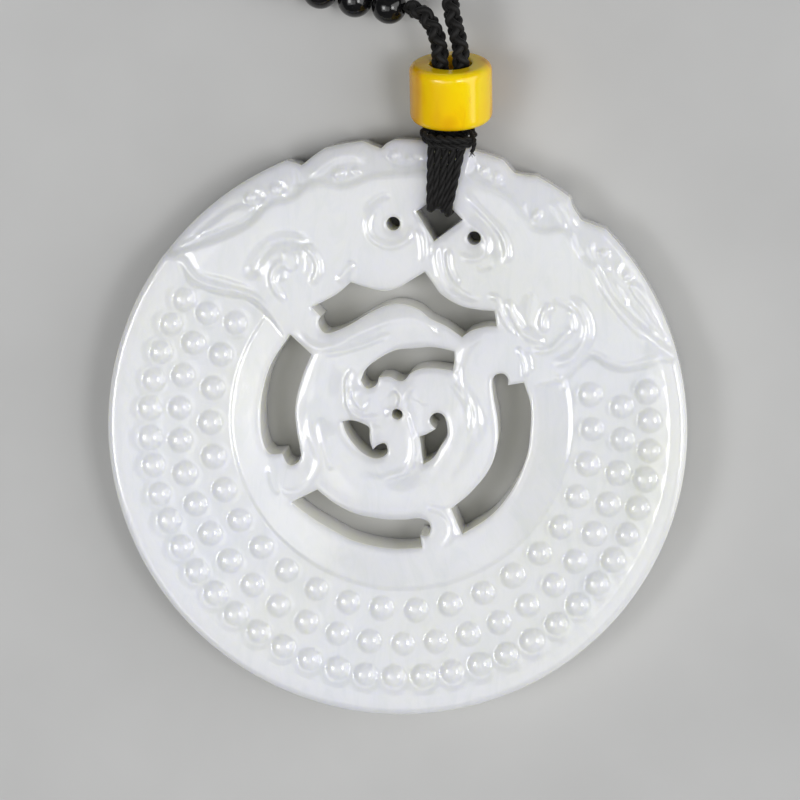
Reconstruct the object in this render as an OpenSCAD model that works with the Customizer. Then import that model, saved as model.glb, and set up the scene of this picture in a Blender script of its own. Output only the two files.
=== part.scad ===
// Carved jade disc pendant, lying face up, with a braided cord and a string of round beads.
// Millimetres. The origin is the centre of the disc's flat back, +Z leaves the carved face,
// and +Y runs from the disc towards the neck.

/* [Disc] */
// Width of the jade disc across its rim
disc_d = 58; // [44:1:80]
// Thickness of the disc from its back to the carved heads
disc_t = 6; // [4.5:0.25:9]
// Rounding along both edges of the disc
edge_r = 0.9; // [0.4:0.1:1.5]
// Width of the plain raised rim beside the grain field
rim_w = 1.9; // [1.2:0.1:3]
// Depth of the sunk grain field below the face
field_depth = 0.5; // [0.3:0.05:0.9]
// Fall of the plain inner band from its inner edge to its outer edge
band_fall = 0.4; // [0.1:0.05:0.7]

/* [Carving] */
// Width of a carved line
line_w = 0.55; // [0.35:0.05:0.8]
// Depth of a carved line
line_depth = 0.35; // [0.15:0.05:0.6]
// Width of a grain dot at its foot
dot_d = 2.1; // [1.4:0.1:2.4]
// Height of a grain dot above the field
dot_h = 0.42; // [0.2:0.02:0.6]
// Width of the two drilled holes in the heads
drill_d = 1.35; // [0.8:0.05:2]
// Width of the eyes
eye_d = 1.7; // [1:0.1:2.2]
// Width of the small curl knobs on the crests
knob_d = 1.1; // [0.7:0.05:1.4]

/* [Cord loop] */
// Width of one flat strand of the cord loop
strand_w = 0.74; // [0.6:0.02:0.9]
// Thickness of the cord loop
strand_t = 0.8; // [0.5:0.05:1]
// Depth of the channel in the disc's back where the loop passes
channel_depth = 1.1; // [0.8:0.05:1.6]
// Thickness of one turn of the stopper knot
knot_d = 1.3; // [1:0.05:1.6]
// Width of the stopper knot
knot_w = 5.1; // [3.6:0.1:6.5]

/* [Barrel bead] */
// Width of the barrel bead
barrel_d = 8.2; // [6.5:0.1:11]
// Length of the barrel bead
barrel_l = 5.9; // [4:0.1:9]
// Rounding of the barrel bead's outer edges
barrel_r = 0.8; // [0.3:0.1:1.2]
// Angle at which the barrel bead's upper end is propped up by the cord
barrel_tilt = 17; // [5:1:25]
// Thickness of one braided cord
braid_d = 1.9; // [1.4:0.1:2.4]

/* [Bead string] */
// Width of a round bead
string_d = 3.5; // [2.6:0.1:4.5]
// Width of the hole through a round bead
string_bore = 1.1; // [0.9:0.05:1.6]
// Thickness of the thread
thread_d = 0.7; // [0.4:0.05:0.9]
// Smallest space between two neighbouring beads
string_gap = 0.12; // [0.1:0.01:0.4]

/* [Hidden] */
// Clear space between the cord loop and the jade, and between the braids and the barrel bead
clr = 0.1;
// How far a cut runs past the face that it opens
over = 1;
R = disc_d / 2;
field_z = disc_t - field_depth;
dot_ball = (dot_h * dot_h + dot_d * dot_d / 4) / (2 * dot_h);

// Points of the carving are [angle from +X, share of the disc's radius]; a third entry marks a corner.

// The seven openings between the scrolls
LEFT_GAP = [[137.5, 0.49, 1], [137.5, 0.39, 1], [150, 0.37], [166, 0.355], [180, 0.34], [190, 0.335],
            [196, 0.34], [199, 0.365], [198, 0.39], [192, 0.4, 1], [191, 0.44], [188, 0.455],
            [180, 0.465], [166, 0.475], [152, 0.485]];
RIGHT_GAP = [[28.5, 0.38], [30, 0.4], [28.5, 0.425], [25.5, 0.43], [23, 0.42, 1], [21.5, 0.475, 1],
             [12, 0.475], [1, 0.465], [350, 0.46], [335, 0.45], [320, 0.44], [303, 0.425, 1],
             [306, 0.33, 1], [322, 0.335], [340, 0.35], [355, 0.355], [8, 0.355], [20, 0.36]];
LOWER_GAP = [[215, 0.44, 1], [217.5, 0.34, 1], [230, 0.33], [245, 0.32], [262, 0.31], [276, 0.31],
             [286, 0.315], [290, 0.335], [290, 0.36], [287, 0.38], [283.5, 0.37, 1], [283, 0.415, 1],
             [268, 0.41], [250, 0.41], [238, 0.41], [227, 0.42]];
CROWN_GAP = [[106.5, 0.535, 1], [101, 0.505], [94, 0.485], [88, 0.5], [84, 0.525], [79.5, 0.56, 1],
             [76, 0.53], [71.5, 0.5], [63, 0.49], [56, 0.51], [51, 0.54, 1], [46.5, 0.505, 1],
             [50, 0.475], [53.5, 0.435], [55, 0.4, 1], [64, 0.405], [73, 0.41], [79, 0.43],
             [85, 0.44], [92, 0.44], [101, 0.42], [112, 0.4], [120, 0.4], [125.5, 0.415],
             [126, 0.44], [125, 0.46], [123, 0.47, 1], [124, 0.515, 1], [118, 0.51], [112, 0.515]];
TOP_GAP = [[124, 0.21, 1], [116, 0.235], [104, 0.255], [90, 0.28], [77.5, 0.295], [66, 0.32],
           [54, 0.345, 1], [50.5, 0.32], [47, 0.29, 1], [58, 0.26], [68, 0.235], [75, 0.21],
           [80, 0.18], [86, 0.175], [96, 0.19], [106.5, 0.195, 1], [111, 0.175], [118, 0.17],
           [124, 0.18]];
INNER_LEFT_GAP = [[170, 0.185, 1], [166.5, 0.155], [167, 0.115], [173, 0.09], [191, 0.09],
                  [207, 0.095], [220, 0.1, 1], [219, 0.075], [230, 0.055], [246, 0.065],
                  [250, 0.08], [244, 0.1], [232, 0.12], [216, 0.135], [198, 0.15], [182, 0.17]];
INNER_RIGHT_GAP = [[4, 0.14, 1], [354, 0.105], [348, 0.085, 1], [332, 0.1], [320, 0.12],
                   [310.5, 0.15, 1], [326, 0.16], [343, 0.165], [356, 0.18], [10, 0.18],
                   [20, 0.175], [25, 0.155], [22, 0.13], [13, 0.125]];
GAPS = [LEFT_GAP, RIGHT_GAP, LOWER_GAP, CROWN_GAP, TOP_GAP, INNER_LEFT_GAP, INNER_RIGHT_GAP];

// Diamond hole for the cord: left, top, right and bottom corner
CORD_HOLE = [[84.5, 0.76], [79.5, 0.825], [72.5, 0.765], [78.5, 0.67]];
// Drilled holes of the two noses, and the pin hole of the middle scroll
DRILLED = [[90.5, 0.715], [68, 0.72]];
PIN_HOLE = [83, 0.06];

// Edge of each scallop notch along the crest
NOTCHES = [[[114, 1.02], [110.5, 0.98], [109.5, 0.965, 1], [106.5, 0.985], [101, 1.02]],
           [[98.5, 1.02], [96, 0.995], [93, 0.97, 1], [91.5, 0.99], [87.5, 1.02]],
           [[70.5, 1.02], [68, 0.995], [65.5, 0.975, 1], [62, 0.995], [60, 1.02]],
           [[54.5, 1.02], [52.5, 0.985], [49, 0.965, 1], [45.5, 0.99], [42, 1.02]]];

// Line where the two heads end and the grain field starts, from the left rim to the right rim
HEAD_EDGE_LEFT = [[143, 1.05], [142.5, 0.94], [143.5, 0.87], [142, 0.8], [139, 0.72], [137, 0.66],
                  [137.5, 0.58], [140, 0.48]];
HEAD_EDGE_RIGHT = [[20, 0.48], [18, 0.6], [21, 0.675], [22, 0.72], [19, 0.76], [16.5, 0.81],
                   [16, 0.87], [15.5, 0.945], [14.5, 1.05]];

// Carved lines of the left head, the right head and the scrolls
LINES = [
    [[140, 0.965], [134, 0.9], [127, 0.865], [119, 0.885], [114, 0.87], [109, 0.895], [104, 0.865],
     [99, 0.86], [92, 0.88]],
    [[138.5, 0.975], [134, 0.935], [128, 0.91], [122.5, 0.905]],
    [[122, 0.585], [116, 0.61], [114.5, 0.65], [116, 0.71], [120, 0.755], [126, 0.77], [131, 0.745],
     [134, 0.69]],
    [[130, 0.6], [129.5, 0.66], [126.5, 0.705], [121, 0.715], [117.5, 0.68], [119, 0.635]],
    [[93.5, 0.81], [97, 0.775], [98.5, 0.71], [96, 0.645], [91, 0.63], [86.5, 0.645], [84, 0.685]],
    [[108.5, 0.92], [104.5, 0.955], [100, 0.965], [96.5, 0.95], [96, 0.915]],
    [[92, 0.97], [91, 0.935], [88, 0.92], [85.5, 0.94]],
    [[119, 0.955], [114.5, 0.955], [113, 0.93], [114.5, 0.905]],
    [[19, 0.95], [24, 0.91], [30, 0.875], [36, 0.875], [41, 0.885], [46, 0.88], [49, 0.9], [52, 0.89]],
    [[20.5, 0.975], [26, 0.95], [32.5, 0.94]],
    [[39, 0.755], [33, 0.77], [28, 0.76], [24, 0.7]],
    [[36.5, 0.72], [31.5, 0.71], [28.5, 0.64], [29.5, 0.57], [34, 0.545]],
    [[42, 0.69], [43.5, 0.63], [39.5, 0.585], [34, 0.59]],
    [[75.5, 0.805], [70, 0.77], [64.5, 0.735], [63.5, 0.7], [66, 0.67]],
    [[74, 0.89], [72, 0.845], [66, 0.815], [60.5, 0.785], [58, 0.74], [58.5, 0.68], [62, 0.64],
     [67, 0.64], [69.5, 0.66]],
    [[71.5, 0.72], [75, 0.655], [77, 0.605], [74, 0.55], [68, 0.515], [60, 0.52]],
    [[72, 0.65], [72.5, 0.595], [69, 0.56], [63, 0.545], [56, 0.56], [51, 0.6]],
    [[58, 0.965], [54, 0.965], [51, 0.95], [49, 0.925]],
    [[74, 0.95], [71, 0.915], [67, 0.92]],
    [[38, 0.965], [37.5, 0.935], [39.5, 0.91]],
    [[133, 0.47], [135, 0.44], [133, 0.39], [127, 0.36], [117, 0.355], [104, 0.365], [93, 0.385],
     [83, 0.4]],
    [[130, 0.345], [122, 0.325], [112, 0.32], [101, 0.33], [91, 0.345]],
    [[165, 0.3], [178, 0.295], [192, 0.28], [202, 0.285], [209, 0.32], [212, 0.37], [210, 0.42]],
    [[168, 0.26], [182, 0.25], [198, 0.25], [212, 0.255]],
    [[123.5, 0.265], [135, 0.24], [146.5, 0.21], [156, 0.17], [158.5, 0.125], [146, 0.09]],
    [[241, 0.185], [262, 0.17], [281, 0.145], [298, 0.115]],
    [[68, 0.17], [73, 0.145], [72, 0.115], [60, 0.095]],
    [[47, 0.45], [49.5, 0.41], [49, 0.365], [44.5, 0.32], [36, 0.29], [24, 0.285], [8, 0.285],
     [357, 0.285]],
    [[38, 0.51], [31, 0.515], [26, 0.505], [23, 0.485]],
    [[291, 0.275], [298, 0.3], [302, 0.345], [301, 0.385]]
];

// Grain rows: [centre of the row as shares of the radius, radius share, first angle, pitch, count]
ROWS = [[[0.008, 0], 0.867, 148.6, 6.7, 34],
        [[0.013, 0.019], 0.766, 150.2, 8.62, 26],
        [[0.015, 0.032], 0.66, 149.5, 10.45, 22]];

EYES = [[102, 0.908], [57.5, 0.895]];
KNOBS = [[116.5, 0.93], [122, 0.95], [41, 0.94], [34.5, 0.955]];

// Plain inner band: centre and radii as shares of the disc's radius
BAND_CENTRE = [0.017, 0.033];
BAND_IN = 0.47;
BAND_OUT = 0.586;
FIELD_CENTRE = [0.006, 0.004];

// Cord loop: lean of the cord and the fan of its five strands
cord_lean = 6.5;
strand_pitch = 0.56 * strand_w;
strand_fan = 2.8;

// Neck route: [x, y, lift] from the upper mouth of the barrel bead, lift above a bead on the floor
NECK_ROUTE = [[-4.5, 5.4, 2], [-6.4, 5.4, 1.3], [-10, 6.1, 0.5], [-15.5, 7.5, 0], [-22.5, 10, 0],
              [-40, 18, 0], [-61, 33, 0], [-80, 55, 0], [-94, 83, 0], [-100, 115, 0],
              [-97, 149, 0], [-84, 182, 0], [-61, 209, 0], [-30, 225, 0], [4, 229, 0],
              [38, 222, 0], [67, 203, 0], [87, 175, 0], [96, 142, 0], [95, 109, 0],
              [84, 78, 0], [66, 54, 0], [45, 37, 0], [26, 25, 0], [12, 17, 0], [5, 12.8, 0.3]];
// Braids between the mouth of the barrel bead and the two ends of the neck route
LEFT_RISE = [[-1.1, 1.6, 0.4], [-1.6, 3.2, 0.4], [-2.7, 4.7, -0.3]];
RIGHT_RISE = [[0.95, 1.6, 0.45], [0.45, 3.6, 0.5], [0, 5.8, -0.1], [0.5, 8.4, -1.4],
              [2, 10.9, -2.6]];

function polar(p) = [R * p[1] * cos(p[0]), R * p[1] * sin(p[0])];
function unit(v) = v / norm(v);
function at_end(n, i, closed) = !closed && (i == 0 || i == n - 1);

// Direction of a curve at point i, on the side of the given chord
function heading(P, K, i, chord, closed) = let(n = len(P))
    K[i] || at_end(n, i, closed) ? unit(chord) : unit(P[(i + 1) % n] - P[(i + n - 1) % n]);

function between(a, b, ma, mb, t) = a * (2 * t * t * t - 3 * t * t + 1) + ma * (t * t * t - 2 * t * t + t)
    + b * (3 * t * t - 2 * t * t * t) + mb * (t * t * t - t * t);

// Smooth curve through points P with corners K and k steps to each stretch
function curve(P, K, k, closed) = let(n = len(P), m = closed ? n : n - 1) [
    for (i = [0:m - 1])
        let(a = P[i], b = P[(i + 1) % n], chord = b - a, span = norm(chord))
        for (j = [0:k - 1])
            between(a, b, span * heading(P, K, i, chord, closed),
                    span * heading(P, K, (i + 1) % n, chord, closed), j / k),
    if (!closed) P[n - 1]];

function carved(table, k, closed) =
    curve([for (p = table) polar(p)], [for (p = table) len(p) > 2], k, closed);

function plain(P) = [for (p = P) false];

// Outline of a carved line that runs out to a point at both ends
function stroke(C, w) = let(
    n = len(C),
    side = [for (i = [0:n - 1])
        let(d = unit(C[min(i + 1, n - 1)] - C[max(i - 1, 0)])) [-d[1], d[0]]],
    half = [for (i = [0:n - 1]) w / 2 * min(1, 0.3 + min(i, n - 1 - i) * 0.35)])
    concat([for (i = [0:n - 1]) C[i] + side[i] * half[i]],
           [for (i = [n - 1:-1:0]) C[i] - side[i] * half[i]]);

module slab(points, low, high) {
    translate([0, 0, low])
        linear_extrude(height = high - low)
            polygon(points);
}

module disc_blank() {
    rotate_extrude($fn = 240) {
        square([R - edge_r, disc_t]);
        translate([0, edge_r])
            square([R, disc_t - 2 * edge_r]);
        intersection() {
            union() {
                translate([R - edge_r, edge_r])
                    circle(edge_r, $fn = 32);
                translate([R - edge_r, disc_t - edge_r])
                    circle(edge_r, $fn = 32);
            }
            translate([R / 2, 0])
                square([R, disc_t]);
        }
    }
}

module heads_area() {
    slab(concat(carved(HEAD_EDGE_LEFT, 2, false), carved(HEAD_EDGE_RIGHT, 2, false),
                [for (a = [40, 65, 90, 115]) R * 1.35 * [cos(a), sin(a)]]), 0, disc_t + 2 * over);
}

// Sunk grain field, and the fall of the plain band inside it
module field_cut() {
    difference() {
        translate([R * FIELD_CENTRE[0], R * FIELD_CENTRE[1], field_z])
            cylinder(h = field_depth + over, r = R - rim_w, $fn = 240);
        translate([R * BAND_CENTRE[0], R * BAND_CENTRE[1], field_z - over])
            cylinder(h = field_depth + 3 * over, r = R * BAND_OUT, $fn = 180);
        heads_area();
    }
}

module band_cut() {
    difference() {
        translate([R * BAND_CENTRE[0], R * BAND_CENTRE[1], 0])
            rotate_extrude($fn = 180)
                polygon([[R * BAND_IN, disc_t], [R * BAND_OUT + 0.01, disc_t - band_fall],
                         [R * BAND_OUT + 0.01, disc_t + over], [R * BAND_IN, disc_t + over]]);
        heads_area();
    }
}

module notch(table) {
    first = table[0][0];
    last = table[len(table) - 1][0];
    slab(concat(carved(table, 3, false),
                [for (a = [last, (first + last) / 2, first]) R * 1.1 * [cos(a), sin(a)]]),
         -over, disc_t + over);
}

// Places in the frame of the cord loop: x across the cord, y along it, from the hole's middle
hole_mid = R * 0.755 * [cos(78.6), sin(78.6)];
function in_cord(p) = let(d = p - hole_mid)
    [d[0] * cos(cord_lean) - d[1] * sin(cord_lean), d[0] * sin(cord_lean) + d[1] * cos(cord_lean)];
cord_dir = [sin(cord_lean), cos(cord_lean)];
hole_left = in_cord(polar(CORD_HOLE[0]));
hole_top = in_cord(polar(CORD_HOLE[1]));
hole_right = in_cord(polar(CORD_HOLE[2]));
slope_left = (hole_top[1] - hole_left[1]) / (hole_top[0] - hole_left[0]);
slope_right = (hole_top[1] - hole_right[1]) / (hole_right[0] - hole_top[0]);
function hole_roof(u) = hole_top[1]
    - (u < hole_top[0] ? (hole_top[0] - u) * slope_left : (u - hole_top[0]) * slope_right);
along_mid = hole_mid * cord_dir;
edge_v = sqrt(R * R - hole_mid * hole_mid + along_mid * along_mid) - along_mid;
loop_end = edge_v + clr + strand_t;

module channel() {
    past = edge_v + 2 * over;
    translate([hole_mid[0], hole_mid[1], -over])
        rotate(-cord_lean)
            linear_extrude(height = channel_depth + over)
                polygon([for (p = [[-1, 0], [1, 0], [1, past], [-1, past]])
                    [p[0] * (2.5 * strand_w + 2 * sin(strand_fan) * p[1] + 3 * clr), p[1]]]);
}

module jade_disc() {
    color([0.88, 0.91, 0.88])
        union() {
            difference() {
                disc_blank();
                field_cut();
                band_cut();
                for (g = GAPS)
                    slab(carved(g, 3, true), -over, disc_t + over);
                slab([for (p = CORD_HOLE) polar(p)], -over, disc_t + over);
                for (p = DRILLED)
                    translate([polar(p)[0], polar(p)[1], -over])
                        cylinder(h = disc_t + 2 * over, d = drill_d, $fn = 32);
                translate([polar(PIN_HOLE)[0], polar(PIN_HOLE)[1], -over])
                    cylinder(h = disc_t + 2 * over, d = drill_d * 0.8, $fn = 32);
                for (t = NOTCHES)
                    notch(t);
                for (t = LINES)
                    slab(stroke(carved(t, 2, false), line_w), disc_t - line_depth, disc_t + over);
                channel();
            }
            for (row = ROWS)
                for (i = [0:row[4] - 1])
                    let(a = row[2] + i * row[3])
                    translate([R * (row[0][0] + row[1] * cos(a)), R * (row[0][1] + row[1] * sin(a)),
                               field_z + dot_h - dot_ball])
                        sphere(dot_ball, $fn = 32);
            for (p = EYES)
                translate([polar(p)[0], polar(p)[1], disc_t - eye_d * 0.3])
                    sphere(d = eye_d, $fn = 32);
            for (p = KNOBS)
                translate([polar(p)[0], polar(p)[1], disc_t - knob_d * 0.2])
                    sphere(d = knob_d, $fn = 32);
        }
}

module rounded(x0, x1, y0, y1, r) {
    translate([x0 + r, y0])
        square([x1 - x0 - 2 * r, y1 - y0]);
    translate([x0, y0 + r])
        square([x1 - x0, y1 - y0 - 2 * r]);
    for (x = [x0 + r, x1 - r])
        for (y = [y0 + r, y1 - r])
            translate([x, y])
                circle(r, $fn = 32);
}

// One strand of the loop round the bridge between the cord hole and the rim
module strand(i) {
    u = i * strand_pitch;
    reach = strand_w / 2 + 0.05;
    wall = min(hole_roof(u - reach), hole_roof(u + reach)) - clr;
    thick = strand_t - (i % 2 == 0 ? 0 : 0.12);
    translate([u, 0, 0])
        rotate(-i * strand_fan)
            translate([-strand_w / 2, 0, 0])
                rotate([90, 0, 90])
                    linear_extrude(height = strand_w)
                        difference() {
                            rounded(wall - thick, loop_end - strand_t + thick,
                                    channel_depth - clr - thick, disc_t + clr + thick, 0.9);
                            rounded(wall, edge_v + clr, channel_depth - clr, disc_t + clr, 0.15);
                        }
}

// The barrel bead stands on the floor with one edge and is propped up by the cord inside it
barrel_low = (barrel_d / 2 - barrel_r) * cos(barrel_tilt) + barrel_r * (1 - sin(barrel_tilt));
knot_step = knot_d * 0.8;
loop_out = hole_mid + cord_dir * loop_end;
barrel_foot = [loop_out[0] + 0.2,
               loop_out[1] + knot_d / 2 - 0.2 + (knot_d / 2 + clr) * cos(barrel_tilt)
                   + knot_step * sin(barrel_tilt),
               barrel_low];
barrel_dir = [0, cos(barrel_tilt), sin(barrel_tilt)];
mouth = barrel_foot + barrel_l * barrel_dir;
braid_off = braid_d / 2 + 0.07;
barrel_bore = 2 * (braid_off + braid_d / 2 + clr);

module at_barrel() {
    translate(barrel_foot)
        rotate([barrel_tilt - 90, 0, 0])
            children();
}

// One turn of the stopper knot, lying across the cord
module turn(w) {
    rotate([0, 90, 0])
        rotate_extrude($fn = 32)
            intersection() {
                union() {
                    translate([-knot_d, knot_d / 2 - w / 2])
                        square([knot_d * 1.5, w - knot_d]);
                    for (y = [knot_d / 2 - w / 2, w / 2 - knot_d / 2])
                        translate([0, y])
                            circle(d = knot_d, $fn = 32);
                }
                translate([0, -w])
                    square([knot_d, 2 * w]);
            }
}

module bail_loop() {
    color([0.07, 0.06, 0.06])
        union() {
            translate([hole_mid[0], hole_mid[1], 0])
                rotate(-cord_lean)
                    for (i = [-2:2])
                        strand(i);
            at_barrel()
                for (k = [-1:1])
                    translate([0.15 * k, k * knot_step, -knot_d / 2 - clr])
                        turn(knot_w - 0.5 * abs(k));
        }
}

module barrel_bead() {
    bore = barrel_bore / 2;
    color([0.95, 0.76, 0.05])
        at_barrel()
            rotate_extrude($fn = 96)
                difference() {
                    rounded(0.5 * bore, barrel_d / 2, 0, barrel_l, barrel_r);
                    translate([0, -1])
                        square([bore, barrel_l + 2]);
                }
}

function ring(c, d, r, n) = let(s = unit(cross(d, [0, 0, 1])), u = cross(s, d))
    [for (k = [0:n - 1]) c + r * (cos(360 * k / n) * s + sin(360 * k / n) * u)];

// Round cord swept along a list of places, with given end directions
module cord(P, d, n, first, last) {
    m = len(P);
    rings = [for (i = [0:m - 1])
        ring(P[i], i == 0 ? first : i == m - 1 ? last : unit(P[i + 1] - P[i - 1]), d / 2, n)];
    points = [for (r = rings) for (p = r) p];
    walls = [for (i = [0:m - 2]) for (k = [0:n - 1])
        let(a = i * n + k, b = i * n + (k + 1) % n) each [[a, b, b + n], [a, b + n, a + n]]];
    polyhedron(points, concat(walls, [[for (k = [n - 1:-1:0]) k]],
                              [[for (k = [0:n - 1]) (m - 1) * n + k]]));
}

neck = [for (p = NECK_ROUTE) [mouth[0] + p[0], mouth[1] + p[1], string_d / 2 + p[2]]];
neck_way = curve(neck, plain(neck), 6, false);
neck_n = len(neck_way);
neck_first = unit(neck[1] - neck[0]);
neck_last = unit(neck[len(neck) - 1] - neck[len(neck) - 2]);

module left_braid() {
    P = concat([barrel_foot - clr * barrel_dir + [-braid_off, 0, 0], mouth + [-braid_off, 0, 0]],
               [for (p = LEFT_RISE) mouth + p], [neck[0]]);
    way = curve(P, plain(P), 5, false);
    color([0.09, 0.07, 0.06])
        cord(way, braid_d, 12, barrel_dir, neck_first);
}

module right_braid() {
    P = concat([barrel_foot - clr * barrel_dir + [braid_off, 0, 0], mouth + [braid_off, 0, 0]],
               [for (p = RIGHT_RISE) mouth + p], [neck[len(neck) - 1]]);
    way = curve(P, plain(P), 5, false);
    color([0.09, 0.07, 0.06])
        cord(way, braid_d, 12, barrel_dir, -neck_last);
}

module neck_thread() {
    color([0.1, 0.09, 0.09])
        cord(neck_way, thread_d, 8, neck_first, neck_last);
}

// Length along the neck route up to each of its places
run = [for (i = 0, s = 0; i < neck_n;
            s = s + (i + 1 < neck_n ? norm(neck_way[i + 1] - neck_way[i]) : 0), i = i + 1) s];
neck_l = run[neck_n - 1];
end_space = string_d / 2 + string_gap;
bead_n = floor((neck_l - 2 * end_space) / (string_d + string_gap)) + 1;
bead_pitch = (neck_l - 2 * end_space) / (bead_n - 1);
half_n = floor(bead_n / 2);

function leg(s, i = 0) = i >= neck_n - 2 || run[i + 1] > s ? i : leg(s, i + 1);

module round_bead(i) {
    s = end_space + i * bead_pitch;
    k = leg(s);
    a = neck_way[k];
    d = unit(neck_way[k + 1] - a);
    translate(a + d * (s - run[k]))
        rotate([0, acos(d[2]), atan2(d[1], d[0])])
            difference() {
                sphere(d = string_d, $fn = 40);
                cylinder(h = string_d + 1, d = string_bore, center = true, $fn = 24);
            }
}

module left_beads() {
    color([0.05, 0.05, 0.055])
        for (i = [0:half_n - 1])
            round_bead(i);
}

module right_beads() {
    color([0.05, 0.05, 0.055])
        for (i = [half_n:bead_n - 1])
            round_bead(i);
}

jade_disc();
bail_loop();
barrel_bead();
left_braid();
right_braid();
left_beads();
right_beads();
neck_thread();
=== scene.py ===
import math
import random

import bmesh
import bpy
import numpy as np
from mathutils import Matrix, Vector
from mathutils.geometry import delaunay_2d_cdt
from mathutils.kdtree import KDTree


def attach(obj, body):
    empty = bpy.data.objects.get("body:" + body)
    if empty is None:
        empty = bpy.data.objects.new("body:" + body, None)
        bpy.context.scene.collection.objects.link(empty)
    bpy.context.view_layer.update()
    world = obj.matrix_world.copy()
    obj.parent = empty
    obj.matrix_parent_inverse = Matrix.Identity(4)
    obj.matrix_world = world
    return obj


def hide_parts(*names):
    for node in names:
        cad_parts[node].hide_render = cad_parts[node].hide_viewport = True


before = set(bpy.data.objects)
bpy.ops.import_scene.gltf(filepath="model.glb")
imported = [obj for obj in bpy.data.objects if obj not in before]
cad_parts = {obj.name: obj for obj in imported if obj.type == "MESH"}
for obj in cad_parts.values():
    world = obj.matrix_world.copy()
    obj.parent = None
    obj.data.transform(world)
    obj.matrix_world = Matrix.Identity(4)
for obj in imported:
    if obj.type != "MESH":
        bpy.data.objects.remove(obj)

# Everything below is in millimetres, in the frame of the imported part, until a mesh or object is made.
MM = 0.001
TURN = 2 * math.pi
FAR = 1e9
TINY = 1e-12
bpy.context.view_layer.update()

# Disc
DISC_R = 29.0
DISC_T = 6.0
EDGE_R = 0.9
FACE_EDGE_R = 0.6
HOLE_EDGE_R = 0.16
BACK_HOLE_EDGE_R = 0.14
RIM_W = 1.9
RIM_CROWN = 0.07
FIELD_Z = DISC_T - 0.5
FIELD_SLOPE_W = 2.8
BAND_FALL = 0.4
CHANNEL_DEPTH = 1.1
DRILL_D = 1.35
DOT_D = 2.1
DOT_H = 0.42
# How far the face falls towards a hole, and towards the top edge from the radius where that begins
HOLE_FALL = 0.1
HOLE_FALL_W = 0.8
TOP_FALL = 0.35
TOP_FALL_R = 25.2
OUTLINE_STEP = 0.24
GRID = 0.215
ROW_STEP = 0.866
# Distances from the outline and from the holes at which both faces have rows of points
FACE_ROWS = ((0.03, 0.1, 0.2, 0.35, 0.55, 0.78), (0.05, 0.13, 0.28, 0.5))
BACK_ROWS = ((0.03, 0.1, 0.25, 0.5, 0.78), (0.06, 0.16))
# A point of a row stays if no edge is nearer to it than this share of its distance, and even points begin
# this far beyond the last row
ROW_KEEP = 0.88
ROW_CLEAR = 0.1
# Circles of points along the wall of the field, at these distances from it
WALL_ROWS = (-0.16, -0.05, 0.04, 0.15)
WALL_STEP = 0.24
DRILL_STEP = 0.16
# Fine points of the back lie in a box round the channel, measured from the middle of the cord hole
CHANNEL_BOX = ((-4, -1), (5, 8))
CHANNEL_GRID = 0.24
BACK_GRID = 0.8
# Rings of points down each wall of the stone: share of the height from the back to the face, and shift
WALL_LEVELS = ((1, -0.15), (0.5, 0), (0, 0.15))

# Cord, barrel bead and bead string
CLEAR = 0.1
STRAND_W = 0.74
STRAND_T = 0.8
STRAND_LAP = 0.56
FAN_DEGREES = 2.8
LOOP_BEND = 0.62
PATH_STEP = 0.17
KNOT_D = 1.3
KNOT_W = 5.1
KNOT_PITCH = 0.62
KNOT_TURN_R = 0.33
BARREL_D = 8.2
BARREL_L = 5.9
BARREL_R = 0.8
BARREL_TILT = math.radians(17)
BORE_LIP = 0.22
BRAID_D = 1.9
STRING_D = 3.5
STRING_BORE = 1.1
STRING_LIP = 0.1
STRING_GAP = 0.12
# Plies of each cord: distance from its middle line, radius, number and length of a turn
STRAND_PLIES = (0.19, 0.22, 3, 3.4)
KNOT_PLIES = (0.15, 0.19, 2, 1.7)
FRONT_PLIES = (0.16, 0.2, 2, 1.8)
TAIL_PLIES = (0.1, 0.12, 3, 1.4)
THREAD_PLIES = (0.16, 0.185, 2, 2.1)
# Turn of the fibres along a ply, in radians for each millimetre
FIBRE_TWIST = 6.0
# Braids: length of a turn, radius of a strand, its distance from the middle line, and how far that changes
# where strands cross
BRAID_PITCH = BRAID_D * 1.75
BRAID_PLY_R = 0.35
BRAID_REACH = 0.47
BRAID_CROSS = 0.13
BARREL_SIDES = 128
BEAD_MESH = (26, 15)
# Share by which a string bead can be smaller than the largest
BEAD_CHANGE = 0.012

# Neck route: [x, y, lift] from the upper mouth of the barrel bead, lift above a bead on the floor
NECK_ROUTE = [[-4.5, 5.4, 2], [-6.4, 5.4, 1.3], [-10, 6.1, 0.5], [-15.5, 7.5, 0], [-22.5, 10, 0],
              [-40, 18, 0], [-61, 33, 0], [-80, 55, 0], [-94, 83, 0], [-100, 115, 0],
              [-97, 149, 0], [-84, 182, 0], [-61, 209, 0], [-30, 225, 0], [4, 229, 0],
              [38, 222, 0], [67, 203, 0], [87, 175, 0], [96, 142, 0], [95, 109, 0],
              [84, 78, 0], [66, 54, 0], [45, 37, 0], [26, 25, 0], [12, 17, 0], [5, 12.8, 0.3]]
# Routes of the braids from the same mouth
LEFT_RISE = [[-1.1, 1.6, 0.4], [-1.6, 3.2, 0.4], [-2.7, 4.7, -0.3]]
RIGHT_RISE = [[0.95, 1.6, 0.45], [0.45, 3.6, 0.5], [0, 5.8, -0.1], [0.5, 8.4, -1.4], [2, 10.9, -2.6]]
# Cut end of the knot's cord, beside the loop
TAIL = [[7.0, 30.2, 5.0], [7.6, 29.6, 6.3], [7.9, 29.0, 7.0], [7.85, 28.4, 7.15], [7.65, 27.9, 7.05]]
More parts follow.
